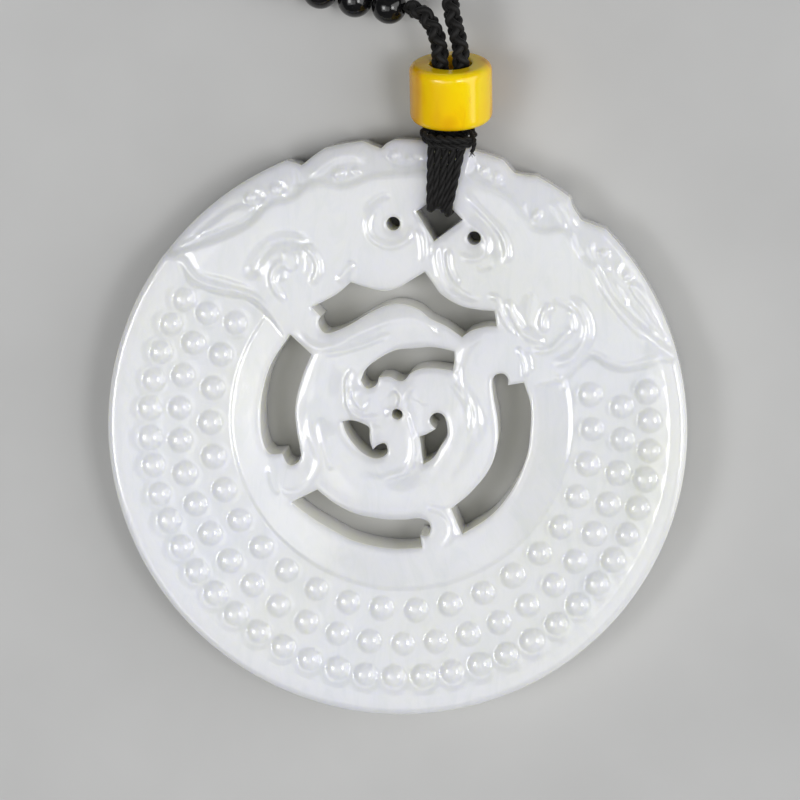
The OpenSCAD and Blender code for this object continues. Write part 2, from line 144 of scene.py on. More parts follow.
# A turn of the knot that lies over the end of the loop: [x, y, height], x and y from the end, and the
# share of the way to the next turn that each point moves
FRONT_TURN = [[-2.4, 0.2, 6.35, 0.5], [-1.5, -0.2, 7.05, 1], [0, -0.35, 7.3, 1], [1.5, -0.4, 7.15, 1],
              [2.5, -0.2, 6.35, 0.5], [2.2, 0.55, 5.3, 0], [0, 0.85, 5, 0], [-2.1, 0.65, 5.3, 0]]

# Camera, from the shape of the disc's outline in the photograph
CAMERA_PLACE = (25.8, 44.7, 300)
CAMERA_AIM = (0, 2.35, 0)
CAMERA_LENS = 134.9
SENSOR_W = 36

# Lights in metres: [name, place, place that it faces, width, height, power]
LIGHTS = [["left_softbox", (-0.285, -0.07, 0.475), (0, 0.02, 0), 0.33, 0.38, 0.5],
          ["right_panel", (0.75, 0.05, 1.175), (0, 0.05, 1.15), 2.1, 0.9, 12.1],
          ["top_diffuser", (-0.1, -0.13, 0.6), (-0.1, -0.13, 0), 0.36, 0.32, 0.46],
          ["left_lamp", (-0.295, -0.04, 0.475), (0, 0, 0), 0.15, 0.19, 0.62],
          ["right_lamp", (0.255, -0.03, 0.47), (0, 0, 0), 0.13, 0.17, 0.5]]
ROOM_LIGHT = 0.09
ROOM_COLOUR = (0.93, 0.96, 1, 1)
FLOOR_HALF = 1.5

# Tables of the carving: [angle from +X in degrees, share of the disc's radius], and a third entry at a
# corner
LEFT_GAP = [[137.5, 0.49, 1], [137.5, 0.39, 1], [150, 0.37], [166, 0.355], [180, 0.34], [190, 0.335],
            [196, 0.34], [199, 0.365], [198, 0.39], [192, 0.4, 1], [191, 0.44], [188, 0.455],
            [180, 0.465], [166, 0.475], [152, 0.485]]
RIGHT_GAP = [[28.5, 0.38], [30, 0.4], [28.5, 0.425], [25.5, 0.43], [23, 0.42, 1], [21.5, 0.475, 1],
             [12, 0.475], [1, 0.465], [350, 0.46], [335, 0.45], [320, 0.44], [303, 0.425, 1],
             [306, 0.33, 1], [322, 0.335], [340, 0.35], [355, 0.355], [8, 0.355], [20, 0.36]]
LOWER_GAP = [[215, 0.44, 1], [217.5, 0.34, 1], [230, 0.33], [245, 0.32], [262, 0.31], [276, 0.31],
             [286, 0.315], [290, 0.335], [290, 0.36], [287, 0.38], [283.5, 0.37, 1], [283, 0.415, 1],
             [268, 0.41], [250, 0.41], [238, 0.41], [227, 0.42]]
CROWN_GAP = [[106.5, 0.535, 1], [101, 0.505], [94, 0.485], [88, 0.5], [84, 0.525], [79.5, 0.56, 1],
             [76, 0.53], [71.5, 0.5], [63, 0.49], [56, 0.51], [51, 0.54, 1], [46.5, 0.505, 1],
             [50, 0.475], [53.5, 0.435], [55, 0.4, 1], [64, 0.405], [73, 0.41], [79, 0.43],
             [85, 0.44], [92, 0.44], [101, 0.42], [112, 0.4], [120, 0.4], [125.5, 0.415],
             [126, 0.44], [125, 0.46], [123, 0.47, 1], [124, 0.515, 1], [118, 0.51], [112, 0.515]]
TOP_GAP = [[124, 0.21, 1], [116, 0.235], [104, 0.255], [90, 0.28], [77.5, 0.295], [66, 0.32],
           [54, 0.345, 1], [50.5, 0.32], [47, 0.29, 1], [58, 0.26], [68, 0.235], [75, 0.21],
           [80, 0.18], [86, 0.175], [96, 0.19], [106.5, 0.195, 1], [111, 0.175], [118, 0.17],
           [124, 0.18]]
INNER_LEFT_GAP = [[170, 0.185, 1], [166.5, 0.155], [167, 0.115], [173, 0.09], [191, 0.09],
                  [207, 0.095], [220, 0.1, 1], [219, 0.075], [230, 0.055], [246, 0.065],
                  [250, 0.08], [244, 0.1], [232, 0.12], [216, 0.135], [198, 0.15], [182, 0.17]]
INNER_RIGHT_GAP = [[4, 0.14, 1], [354, 0.105], [348, 0.085, 1], [332, 0.1], [320, 0.12],
                   [310.5, 0.15, 1], [326, 0.16], [343, 0.165], [356, 0.18], [10, 0.18],
                   [20, 0.175], [25, 0.155], [22, 0.13], [13, 0.125]]
GAPS = [LEFT_GAP, RIGHT_GAP, LOWER_GAP, CROWN_GAP, TOP_GAP, INNER_LEFT_GAP, INNER_RIGHT_GAP]
# Diamond hole for the cord
CORD_HOLE = [[84.5, 0.76, 1], [79.5, 0.825, 1], [72.5, 0.765, 1], [78.5, 0.67, 1]]
# Drilled holes: [angle, share, share of the drill's size]
DRILLED = [[90.5, 0.715, 1], [68, 0.72, 1], [83, 0.06, 0.8]]
# Scallop notches of the crest
NOTCHES = [[[114, 1.02], [110.5, 0.98], [109.5, 0.965, 1], [106.5, 0.985], [101, 1.02]],
           [[98.5, 1.02], [96, 0.995], [93, 0.97, 1], [91.5, 0.99], [87.5, 1.02]],
           [[70.5, 1.02], [68, 0.995], [65.5, 0.975, 1], [62, 0.995], [60, 1.02]],
           [[54.5, 1.02], [52.5, 0.985], [49, 0.965, 1], [45.5, 0.99], [42, 1.02]]]
# Edges of the two heads towards the field
HEAD_EDGE_LEFT = [[143, 1.05], [142.5, 0.94], [143.5, 0.87], [142, 0.8], [139, 0.72], [137, 0.66],
                  [137.5, 0.58], [140, 0.48]]
HEAD_EDGE_RIGHT = [[20, 0.48], [18, 0.6], [21, 0.675], [22, 0.72], [19, 0.76], [16.5, 0.81],
                   [16, 0.87], [15.5, 0.945], [14.5, 1.05]]
# Rows of grain dots: [centre and radius as shares of the disc's, first angle, step, number]
ROWS = [[[0.008, 0], 0.867, 148.6, 6.7, 34],
        [[0.013, 0.019], 0.766, 150.2, 8.62, 26],
        [[0.015, 0.032], 0.66, 149.5, 10.45, 22]]
# Plain band and sunk field, as shares of the disc's radius
BAND_CENTRE = (0.017, 0.033)
BAND_IN = 0.47
BAND_OUT = 0.586
FIELD_CENTRE = (0.006, 0.004)

# Low crest strips above the cheeks: their lower edges, and how deep they lie
CREST_DEPTH = 0.4
LEFT_CREST = [[143, 0.985], [138, 0.935], [133, 0.893], [128, 0.868], [123, 0.868], [119, 0.885],
              [115, 0.872], [112, 0.876], [109.5, 0.893], [106.5, 0.888], [103, 0.862], [99.5, 0.86],
              [96, 0.874], [91, 0.88], [87, 0.885], [83, 0.9]]
RIGHT_CREST = [[74.5, 0.92], [71.5, 0.9], [67, 0.9], [63, 0.885], [59.5, 0.86], [56.5, 0.845],
               [53.5, 0.86], [51.5, 0.89], [48.5, 0.897], [45.5, 0.878], [42.5, 0.878],
               [40, 0.886], [36, 0.876], [32, 0.872], [28, 0.886], [24, 0.91], [19.5, 0.95], [16, 1]]

# Broad swelling of the cheeks: [angle, share, reach, height]
CHEEKS = [[125, 0.8, 5.5, 0.16], [106, 0.75, 5, 0.12], [48, 0.76, 6, 0.16], [90, 0.58, 3.5, 0.08]]
# Raised forms inside the crests: [outline, height, width of the slope]
RAISED = [
    [[[139.5, 0.972, 1], [135.5, 0.957], [131, 0.95], [126.5, 0.945], [123.5, 0.925], [122.5, 0.902],
      [125.5, 0.892], [130, 0.908], [134.5, 0.93]], 0.26, 0.5],
    [[[19.8, 0.985, 1], [23, 0.962], [27, 0.95], [31, 0.94], [33, 0.955], [31.5, 0.975],
      [28, 0.988], [24, 0.995]], 0.26, 0.5]
]
# Domes: [angle, share, half width, half length, turn, height]
DOMES = [
    [121.2, 0.69, 0.85, 1.25, -26, 0.14],
    [102.2, 0.905, 0.75, 0.48, 15, 0.42],
    [98.3, 0.905, 0.5, 0.3, -20, 0.24],
    [57.2, 0.888, 0.42, 0.72, 0, 0.4],
    [116.5, 0.925, 0.55, 0.55, 0, 0.45],
    [122, 0.945, 0.52, 0.52, 0, 0.4],
    [41, 0.94, 0.5, 0.5, 0, 0.45],
    [34.5, 0.957, 0.45, 0.45, 0, 0.4],
    [90.3, 0.947, 0.5, 0.5, 0, 0.35],
    [86.8, 0.935, 0.4, 0.4, 0, 0.3],
    [71.3, 0.945, 0.4, 0.5, 0, 0.35],
    [68.4, 0.94, 0.4, 0.55, 10, 0.35]
]
# How soft the raised and the sunk lines are, as shares of their width and depth
RIDGE_REACH = 0.78
RIDGE_LIFT = 0.65
GROOVE_REACH = 0.75
GROOVE_LIFT = 0.85
# Carved lines: [points, width, depth]; a negative depth is a raised line
LINES = [
    [[[142.5, 0.985], [141, 0.955], [140.4, 0.93], [141, 0.905], [141.5, 0.87], [141, 0.835],
      [139.5, 0.795], [137.8, 0.745], [136, 0.7], [134.9, 0.66]], 0.55, 0.14],
    [[[138.5, 0.972], [135.5, 0.945], [132.5, 0.92], [129, 0.9], [126, 0.887], [123, 0.895],
      [121.5, 0.91]], 0.3, 0.22],
    [[[120.2, 0.958], [118.6, 0.938], [118.8, 0.91], [121, 0.895]], 0.35, -0.2],
    [[[114.5, 0.952], [113.6, 0.93], [113.8, 0.905], [115.5, 0.89]], 0.4, -0.22],
    [[[110.6, 0.965], [111, 0.935], [112, 0.9]], 0.4, 0.16],
    [[[108.8, 0.915], [106.3, 0.935], [104, 0.952], [101.8, 0.961], [99.5, 0.96], [97.4, 0.95],
      [96, 0.925]], 0.5, -0.3],
    [[[105.5, 0.895], [103.5, 0.883], [100.5, 0.882], [98, 0.89], [96, 0.9]], 0.4, -0.12],
    [[[92.6, 0.97], [92, 0.943], [90.3, 0.922], [88, 0.914], [85.6, 0.925], [84.6, 0.95]], 0.4, 0.22],
    [[[92, 0.95], [90, 0.93], [87.5, 0.927], [85.5, 0.94]], 0.3, -0.12],
    [[[18.6, 0.955], [22, 0.925], [25.5, 0.9], [29, 0.882], [32.5, 0.872], [36.5, 0.877],
      [40, 0.889], [41.2, 0.893]], 0.4, -0.24],
    [[[20.5, 0.965], [24, 0.94], [28, 0.917], [32, 0.905], [36, 0.91]], 0.35, -0.14],
    [[[22, 0.953], [26, 0.928], [30.5, 0.91]], 0.3, 0.14],
    [[[43.5, 0.88], [46.5, 0.884], [49, 0.9], [51.8, 0.893]], 0.4, -0.2],
    [[[44.8, 0.94], [43.7, 0.918], [41.8, 0.905], [38.8, 0.912], [37.5, 0.93]], 0.35, -0.18],
    [[[37.8, 0.975], [36.8, 0.945], [35.2, 0.932], [32.8, 0.94], [31.6, 0.96]], 0.35, -0.16],
    [[[20, 0.62], [21.6, 0.67], [22.2, 0.71], [20.8, 0.745], [18, 0.772], [16.4, 0.81], [16, 0.86],
      [16.3, 0.9], [16.2, 0.93], [15, 0.955]], 0.5, -0.16],
    [[[55.8, 0.973], [53.5, 0.967], [51.3, 0.956], [49.2, 0.94]], 0.6, -0.3],
    [[[56.8, 0.95], [54, 0.94], [52, 0.925], [50.5, 0.905]], 0.4, -0.16],
    [[[61.2, 0.91], [60.3, 0.88], [58.6, 0.86], [56.4, 0.85]], 0.35, -0.14],
    [[[74, 0.965], [72.8, 0.94], [71, 0.925], [68.4, 0.917], [66, 0.925]], 0.4, 0.2],
    [[[131, 0.49], [133.6, 0.465], [134.6, 0.44], [134, 0.405], [131, 0.378], [125, 0.36],
      [118.5, 0.355], [112, 0.36], [104, 0.367], [96, 0.38], [89.5, 0.39], [83, 0.398],
      [77, 0.397], [72, 0.382], [67.5, 0.365], [63.5, 0.35]], 0.5, -0.2],
    [[[133, 0.37], [127.5, 0.343], [121, 0.327], [110, 0.318], [100, 0.325], [91, 0.34]], 0.4, 0.16],
    [[[165, 0.3], [172, 0.297], [180, 0.295], [187, 0.287], [194, 0.28], [200.5, 0.281],
      [206, 0.3], [210, 0.33], [212, 0.37], [212, 0.405], [209.5, 0.432], [205, 0.443]], 0.45, -0.18],
    [[[168, 0.26], [177.5, 0.255], [189.5, 0.25], [199, 0.25], [207, 0.252], [213, 0.258]], 0.4, -0.14],
    [[[196, 0.45], [200.5, 0.457], [205, 0.463], [209.5, 0.463]], 0.35, -0.12],
    [[[124, 0.268], [131.5, 0.25], [138.5, 0.23], [146.5, 0.208], [153, 0.184], [158, 0.15],
      [157.5, 0.115], [146, 0.085], [118, 0.072]], 0.4, -0.16],
    [[[243, 0.18], [258, 0.17], [270, 0.155], [283, 0.138], [297, 0.117], [311, 0.096],
      [330, 0.076], [2, 0.06]], 0.4, -0.16],
    [[[67, 0.185], [71.5, 0.16], [74.5, 0.132], [69.5, 0.106], [53, 0.083], [27, 0.068]], 0.4, -0.15],
    [[[47, 0.45], [49, 0.42], [49.6, 0.385], [48, 0.35], [44.5, 0.32], [39, 0.295], [30, 0.288],
      [19, 0.29], [8, 0.29], [357, 0.288]], 0.45, -0.18],
    [[[42, 0.258], [32, 0.26], [22.5, 0.266], [10.5, 0.265], [359, 0.262]], 0.4, 0.14],
    [[[291, 0.277], [297, 0.297], [301, 0.325], [302, 0.365], [300, 0.395], [296, 0.42],
      [290.5, 0.43]], 0.45, -0.18]
]

# Ridges of the heads, in mm: [points, reach to each side, height]; a negative height is a groove
RIDGES = [
    # Lower edge of the left cheek
    [[(-23.4, 16.9), (-22.3, 17.15), (-21.2, 16.8), (-20.4, 15.8), (-19.4, 14.8), (-18, 14.1),
      (-16.2, 13.7), (-14.8, 13.55), (-14, 13.1), (-12.8, 11.9), (-12, 11.1)], 0.37, 0.21],
    # Left eye
    [[(-14.4, 14.9), (-14.2, 15.8), (-13.8, 16.9), (-13, 18), (-12, 18.8), (-10.6, 19.05), (-9.3, 18.7),
      (-8.4, 17.9)], 0.8, -0.3],
    [[(-10.7, 17), (-11.5, 16.6), (-12, 16), (-12.2, 15.3), (-12, 14.4), (-11.4, 13.5),
      (-10.7, 12.7)], 0.36, 0.24],
    [[(-9.3, 18.6), (-8.4, 18), (-7.75, 17.1), (-7.6, 16.2), (-7.9, 15.3), (-8.6, 14.6)], 0.38, 0.26],
    [[(-9, 17.9), (-8.75, 17.2), (-8.7, 16.4), (-9, 15.6)], 0.2, 0.08],
    [[(-10.9, 16.3), (-11.2, 15.7), (-11, 15)], 0.4, -0.1],
    # Left nose
    [[(-1.4, 22.6), (-2.3, 21.7), (-2.7, 20.7), (-2.5, 19.7), (-1.9, 19), (-0.9, 18.55), (0.2, 18.6),
      (1.1, 19.1), (1.5, 19.9), (1.6, 20.9)], 0.31, 0.17],
    [[(-3, 21.9), (-2.3, 22.8), (-1.4, 23.4), (-0.3, 23.6)], 0.28, -0.11],
    [[(2.2, 20.3), (2.5, 19.4), (2.65, 18.5), (2.7, 17.7), (2.4, 16.8)], 0.22, 0.14],
    [[(2.4, 21.4), (2.9, 20.6), (3.25, 19.7), (3.4, 18.8), (3.4, 17.9), (3.2, 17)], 0.24, 0.17],
    [[(-5.8, 14.8), (-5.1, 15.6), (-4.5, 16.4), (-4.1, 17)], 0.37, 0.17],
    # Right nose
    [[(6.9, 24.3), (7.7, 22.9), (9.2, 21.3), (10.2, 20.2), (10.85, 19.2), (11.1, 18.3), (11, 17.4),
      (10.4, 16.6)], 0.33, 0.21],
    [[(7.4, 23.4), (8.2, 22), (9.4, 20.8), (10, 19.6), (10.1, 18.4), (9.4, 17.2)], 0.5, -0.12],
    [[(6.8, 21.2), (7.6, 20.6), (8.7, 19.6), (9.1, 18.7), (8.8, 17.8), (8, 17.3), (7, 17.4),
      (6.4, 18)], 0.28, 0.14],
    [[(8, 16.4), (9, 16.5), (9.8, 17)], 0.28, -0.08],
    [[(4.9, 19), (4.75, 18), (4.8, 16.9), (5.2, 15.5), (6.1, 14.3), (7.4, 13.5), (9, 13.3)], 0.4, -0.15],
    [[(4.2, 18.8), (4.05, 17.6), (4.25, 16.4), (4.7, 15), (5.6, 13.8), (7, 12.9)], 0.28, 0.14],
    [[(5.3, 18.4), (5.3, 17), (5.7, 15.7), (6.6, 14.7)], 0.31, 0.17],
    # Right jaw
    [[(9, 13.6), (10, 13.5), (10.5, 12.6), (10.8, 11.5), (11.3, 10.6), (11.9, 9.9)], 0.26, 0.2],
    [[(11.2, 13.6), (11.4, 12.4), (12.1, 11), (13, 9.9), (14.2, 9.3), (15.1, 9.2)], 0.41, 0.21],
    [[(10.9, 12.9), (11.1, 11.9), (11.7, 10.7), (12.5, 9.6)], 0.22, -0.14],
    # Right eye
    [[(14, 14), (13.4, 13.2), (13.2, 12.1), (13.2, 11), (13.6, 10)], 0.7, -0.14],
    [[(15.6, 12.9), (15, 12.3), (14.7, 11.6), (14.65, 10.8), (15, 10.1)], 0.37, 0.25],
    [[(17.2, 12.4), (17.6, 11.7), (17.75, 10.9), (17.7, 10)], 0.2, 0.17],
    [[(17, 10.9), (17.1, 10.2), (16.7, 9.6), (16.1, 9), (15.4, 8.4), (14.3, 8.3), (13.3, 8.6)], 0.33, 0.18],
    [[(16.9, 13.8), (17.8, 13.1), (18.5, 12.2), (19, 11.2), (19.1, 10.2), (18.8, 9.2), (18.2, 8.3),
      (17.4, 7.5), (16.3, 7.1), (15.2, 7.3)], 0.44, 0.25],
    [[(15.6, 13.3), (16.7, 13), (17.4, 12.4)], 0.28, -0.08],
    [[(12.1, 8.7), (12.65, 7.6), (12.9, 6.6), (12.9, 5.4)], 0.24, 0.2],
    [[(13.1, 8.2), (13.4, 7.2), (13.5, 6)], 0.22, 0.1],
    [[(16.1, 5.9), (16.6, 5.1), (16.8, 4.3)], 0.26, 0.14],
    # Lower edges of the crest over the right cheek
    [[(19.8, 15.9), (20.4, 14.8), (21, 13.8), (21.7, 12.8), (22.5, 11.8), (23.4, 10.8), (24.4, 9.9),
      (25.4, 8.9)], 0.37, 0.17]
]
# Steps beside a line, in mm: [points, lift and reach on the left, lift and reach on the right]
STEPS = [
    [[(2.0, 4.6), (1.15, 3.75), (0.9, 2.6), (1.3, 1.6), (1.65, 0.6), (1.95, -0.65), (2.1, -1.9),
      (1.8, -3.4), (1.0, -4.3), (-0.2, -4.65), (-1.5, -4.55)], -0.3, 1.5, 0.12, 0.8],
    [[(-4.3, 6.5), (-4.9, 5.3), (-4.95, 4.0), (-4.8, 2.6), (-4.1, 1.5), (-2.8, 1.0)],
     0.24, 0.7, -0.16, 0.7],
    [[(-4.3, 4.6), (-4.3, 3.4), (-3.7, 2.4), (-2.85, 1.9)], 0.24, 1.1, -0.12, 0.5],
    [[(-0.2, 4.4), (0.4, 3.4), (0.0, 2.1), (-1.0, 1.4)], 0.22, 0.6, -0.18, 1.2],
    [[(-2.4, 0.8), (-2.5, -0.4), (-2.3, -1.7)], 0.2, 0.8, -0.06, 0.5],
    [[(6.6, 7.4), (6.5, 5.5), (6.9, 4.2), (7.4, 2.6), (7.6, 0.85)], -0.12, 0.6, 0.12, 0.6]
]
# Broad swellings along a line, in mm: [points, height, reach]
SWELLS = [
    [[(-7.4, 1.5), (-6.9, -0.6), (-6.2, -1.9), (-5, -3.9), (-3.2, -5.4), (0, -6.2), (3, -5.4), (5, -3.6),
      (6.6, -0.9), (7.5, 1.6), (8.2, 4.6)], 0.24, 1.6],
    [[(-7.8, 2.0), (-7.7, 4.5), (-7.0, 7.0), (-5.6, 8.8), (-3.4, 10.0), (-0.6, 10.6), (2, 10.4),
      (4.6, 9.3)], 0.22, 1.5]
]


def polar(p):
    """A place on the disc from its angle in degrees and its share of the radius."""
    a = math.radians(p[0])
    return (DISC_R * p[1] * math.cos(a), DISC_R * p[1] * math.sin(a))


def unit(v):
    return v / max(np.linalg.norm(v), TINY)


def curve(points, steps, closed=False, corners=None):
    """Smooth curve through the points, with a sharp turn at each corner."""
    P = [np.array(p, float) for p in points]
    n = len(P)
    corners = corners or [False] * n

    def heading(i, chord):
        if corners[i] or (not closed and i in (0, n - 1)):
            return unit(chord)
        return unit(P[(i + 1) % n] - P[i - 1])

    out = []
    for i in range(n if closed else n - 1):
        a, b = P[i], P[(i + 1) % n]
        chord = b - a
        span = np.linalg.norm(chord)
        ma, mb = span * heading(i, chord), span * heading((i + 1) % n, chord)
        for j in range(steps):
            t = j / steps
            out.append(a * (2 * t**3 - 3 * t**2 + 1) + ma * (t**3 - 2 * t**2 + t)
                       + b * (3 * t**2 - 2 * t**3) + mb * (t**3 - t**2))
    if not closed:
        out.append(P[-1])
    return np.array(out)


def carved(table, steps, closed=False):
    return curve([polar(p) for p in table], steps, closed, [len(p) > 2 for p in table])


def run_of(P):
    """Length of the path from its start to each of its points."""
    return np.concatenate([[0], np.cumsum(np.linalg.norm(np.diff(P, axis=0), axis=1))])


def spaced(line, step, closed=False):
    """The same line with its points an even step apart."""
    P = np.vstack([line, line[:1]]) if closed else line
    run = run_of(P)
    n = max(2, int(round(run[-1] / step)))
    at = np.linspace(0, run[-1], n + 1)
    out = np.stack([np.interp(at, run, P[:, k]) for k in range(P.shape[1])], axis=1)
    return out[:-1] if closed else out


def smooth(t):
    t = np.clip(t, 0, 1)
    return t * t * (3 - 2 * t)


def nearest(Q, line, closed=False):
    """For each place in Q: its distance from a line, the share of the line up to its nearest point, and
    1 where it lies on the line's left or -1 on its right."""
    P = np.vstack([line, line[:1]]) if closed else line
    best, along, hand = np.full(len(Q), FAR), np.zeros(len(Q)), np.ones(len(Q))
    m = len(P) - 1
    for i in range(m):
        a, d = P[i], P[i + 1] - P[i]
        t = np.clip(((Q - a) @ d) / max(d @ d, TINY), 0, 1)
        r = np.hypot(Q[:, 0] - a[0] - t * d[0], Q[:, 1] - a[1] - t * d[1])
        near = r < best
        best = np.where(near, r, best)
        along = np.where(near, (i + t) / m, along)
        left = d[0] * (Q[:, 1] - a[1]) - d[1] * (Q[:, 0] - a[0]) > 0
        hand = np.where(near, np.where(left, 1, -1), hand)
    return best, along, hand


def inside(Q, ring):
    x, y = Q[:, 0], Q[:, 1]
    hit = np.zeros(len(Q), bool)
    for i in range(len(ring)):
        (x0, y0), (x1, y1) = ring[i - 1], ring[i]
        if y0 != y1:
            hit ^= ((y0 > y) != (y1 > y)) & (x < (x1 - x0) * (y - y0) / (y1 - y0) + x0)
    return hit


def depth_in(Q, ring):
    """Distance from a closed line, positive inside it."""
    d = nearest(Q, ring, True)[0]
    return np.where(inside(Q, ring), d, -d)


def around(Q, line, reach):
    """Numbers of the places within reach of a line's box."""
    low, high = line.min(axis=0) - reach, line.max(axis=0) + reach
    return np.nonzero(((Q > low) & (Q < high)).all(axis=1))[0]


def waviness(Q, scale, seed):
    """Soft, even waviness from a few crossing sine waves."""
    waves = 7
    rng = random.Random(seed)
    out = np.zeros(len(Q))
    for _ in range(waves):
        a = rng.uniform(0, TURN)
        f = TURN / scale * rng.uniform(0.6, 1.6)
        out += np.sin((Q[:, 0] * math.cos(a) + Q[:, 1] * math.sin(a)) * f + rng.uniform(0, 6.3))
    return out / waves


def outer_ring(step):
    """Outline of the disc: a circle with four scallop notches along its crest."""
    n = int(round(TURN * DISC_R / step))
    a = np.arange(n) * 360 / n
    r = np.full(n, DISC_R)
    for table in NOTCHES:
        P = carved(table, 12)
        notch = np.degrees(np.arctan2(P[:, 1], P[:, 0]))
        order = np.argsort(notch)
        r = np.minimum(r, np.interp(a, notch[order], np.hypot(*P.T)[order], left=FAR, right=FAR))
    a = np.radians(a)
    return np.stack([r * np.cos(a), r * np.sin(a)], axis=1)


def circle(centre, r, step):
    n = max(20, int(TURN * r / step))
    a = np.arange(n) * TURN / n
    return np.stack([centre[0] + r * np.cos(a), centre[1] + r * np.sin(a)], axis=1)


def spaced_with_corners(table, step):
    """A closed outline that starts at a corner, with even steps between its corners."""
    fineness = 12
    first = next(i for i, p in enumerate(table) if len(p) > 2)
    table = table[first:] + table[:first]
    full = carved(table, fineness, True)
    cuts = [fineness * i for i, p in enumerate(table) if len(p) > 2] + [len(full)]
    full = np.vstack([full, full[:1]])
    return np.vstack([spaced(full[a:b + 1], step)[:-1] for a, b in zip(cuts, cuts[1:])])


# The cord loop's frame: v runs along the cord from the middle of its hole, and u runs across it
HOLE_MID = np.array(polar([78.6, 0.755]))
CORD_LEAN = math.radians(6.5)
CORD_DIR = np.array([math.sin(CORD_LEAN), math.cos(CORD_LEAN)])
SIDE_DIR = np.array([CORD_DIR[1], -CORD_DIR[0]])
HOLE_V = float(HOLE_MID @ CORD_DIR)
EDGE_V = math.sqrt(DISC_R**2 - float(HOLE_MID @ HOLE_MID) + HOLE_V**2) - HOLE_V
HOLE_CORNERS = [np.array(polar(p)) for p in CORD_HOLE]
HOLE_UV = [((c - HOLE_MID) @ SIDE_DIR, (c - HOLE_MID) @ CORD_DIR) for c in HOLE_CORNERS]


def from_cord(u, v):
    return HOLE_MID + u * SIDE_DIR + v * CORD_DIR


def hole_roof(u):
    """Where the cord hole ends towards the rim, at u across the cord."""
    (ul, vl), (ut, vt), (ur, vr) = HOLE_UV[:3]
    return vt - ((ut - u) * (vt - vl) / (ut - ul) if u < ut else (u - ut) * (vt - vr) / (ur - ut))


def from_centre(Q, centre):
    return np.hypot(Q[:, 0] - DISC_R * centre[0], Q[:, 1] - DISC_R * centre[1])


def closed_beyond(table, steps, share, angles):
    """A carved line that is closed by a way round outside the disc."""
    return np.vstack([carved(table, steps), [polar([a, share]) for a in angles]])


def field_gaps(Q):
    """How far each place lies past the rim, the heads and the plain band, towards the sunk grain field."""
    heads = np.vstack([carved(HEAD_EDGE_LEFT, 6),
                       closed_beyond(HEAD_EDGE_RIGHT, 6, 1.35, (40, 65, 90, 115))])
    return (DISC_R - RIM_W - from_centre(Q, FIELD_CENTRE), -depth_in(Q, heads),
            from_centre(Q, BAND_CENTRE) - DISC_R * BAND_OUT)


def fade(along, part):
    """Falls to 0 over a part of a line at each of its ends."""
    return smooth(np.minimum(along, 1 - along) / part)


def add_ridge(z, Q, line, cut, reach, lift, part, least=0):
    """Raises a soft ridge along a line, or sinks a groove where lift is negative."""
    near = around(Q, line, cut)
    d, along, _ = nearest(Q[near], line)
    z[near] += lift * np.exp(-(d / reach)**2) * (least + (1 - least) * fade(along, part))


def add_step(z, Q, line, lift_l, fall_l, lift_r, fall_r):
    """Raises or sinks each side of a line by its own lift, which falls off away from the line."""
    near = around(Q, line, 2.2 * max(fall_l, fall_r))
    d, along, hand = nearest(Q[near], line)
    s = d * hand
    left = lift_l * np.exp(-(np.clip(s, 0, None) / fall_l)**1.4)
    right = lift_r * np.exp(-(np.clip(-s, 0, None) / fall_r)**1.4)
    w = smooth(s / 0.36 + 0.5)
    z[near] += fade(along, 0.18) * (left * w + right * (1 - w))


def add_dome(z, Q, angle, share, half_w, half_l, turn, lift):
    c = polar([angle, share])
    near = around(Q, np.array([c]), 1.5)
    t = math.radians(angle + turn)
    x, y = Q[near, 0] - c[0], Q[near, 1] - c[1]
    across, out = -x * math.sin(t) + y * math.cos(t), x * math.cos(t) + y * math.sin(t)
    q = (across / half_w)**2 + (out / half_l)**2
    z[near] += lift * np.sqrt(np.clip(1 - q, 0, 1)) * smooth((1.02 - q) * 4)


def add_dots(z, Q):
    """Grain dots, each polished by hand in its own narrow ring."""
    rng = random.Random(31)
    for centre, share, first, pitch, count in ROWS:
        for i in range(count):
            a = math.radians(first + i * pitch)
            c = np.array([DISC_R * (centre[0] + share * math.cos(a)),
                          DISC_R * (centre[1] + share * math.sin(a))])
            c += [rng.uniform(-0.04, 0.04), rng.uniform(-0.04, 0.04)]
            size = rng.uniform(0.96, 1.04)
            lean = (rng.uniform(-0.03, 0.03), rng.uniform(-0.03, 0.03))
            near = around(Q, np.array([c]), 2)
            x, y = Q[near, 0] - c[0], Q[near, 1] - c[1]
            d = np.hypot(x, y) / size
            top = z[near[np.argmin(d)]] + DOT_H + rng.uniform(-0.03, 0.02)
            dome = top - d**2 / 4 - 0.36 * np.clip(d - 0.6, 0, None)**2 + lean[0] * x + lean[1] * y
            moat = z[near] - 0.05 * np.exp(-((d - 1.25) / 0.38)**2)
            z[near] = np.where(d < DOT_D / 2 + 0.15, np.maximum(dome, moat), moat)


def round_off(gap, r):
    """How much an edge of radius r takes off at each distance from it."""
    return r - np.sqrt(np.clip(r**2 - np.clip(r - gap, 0, r)**2, 0, None))


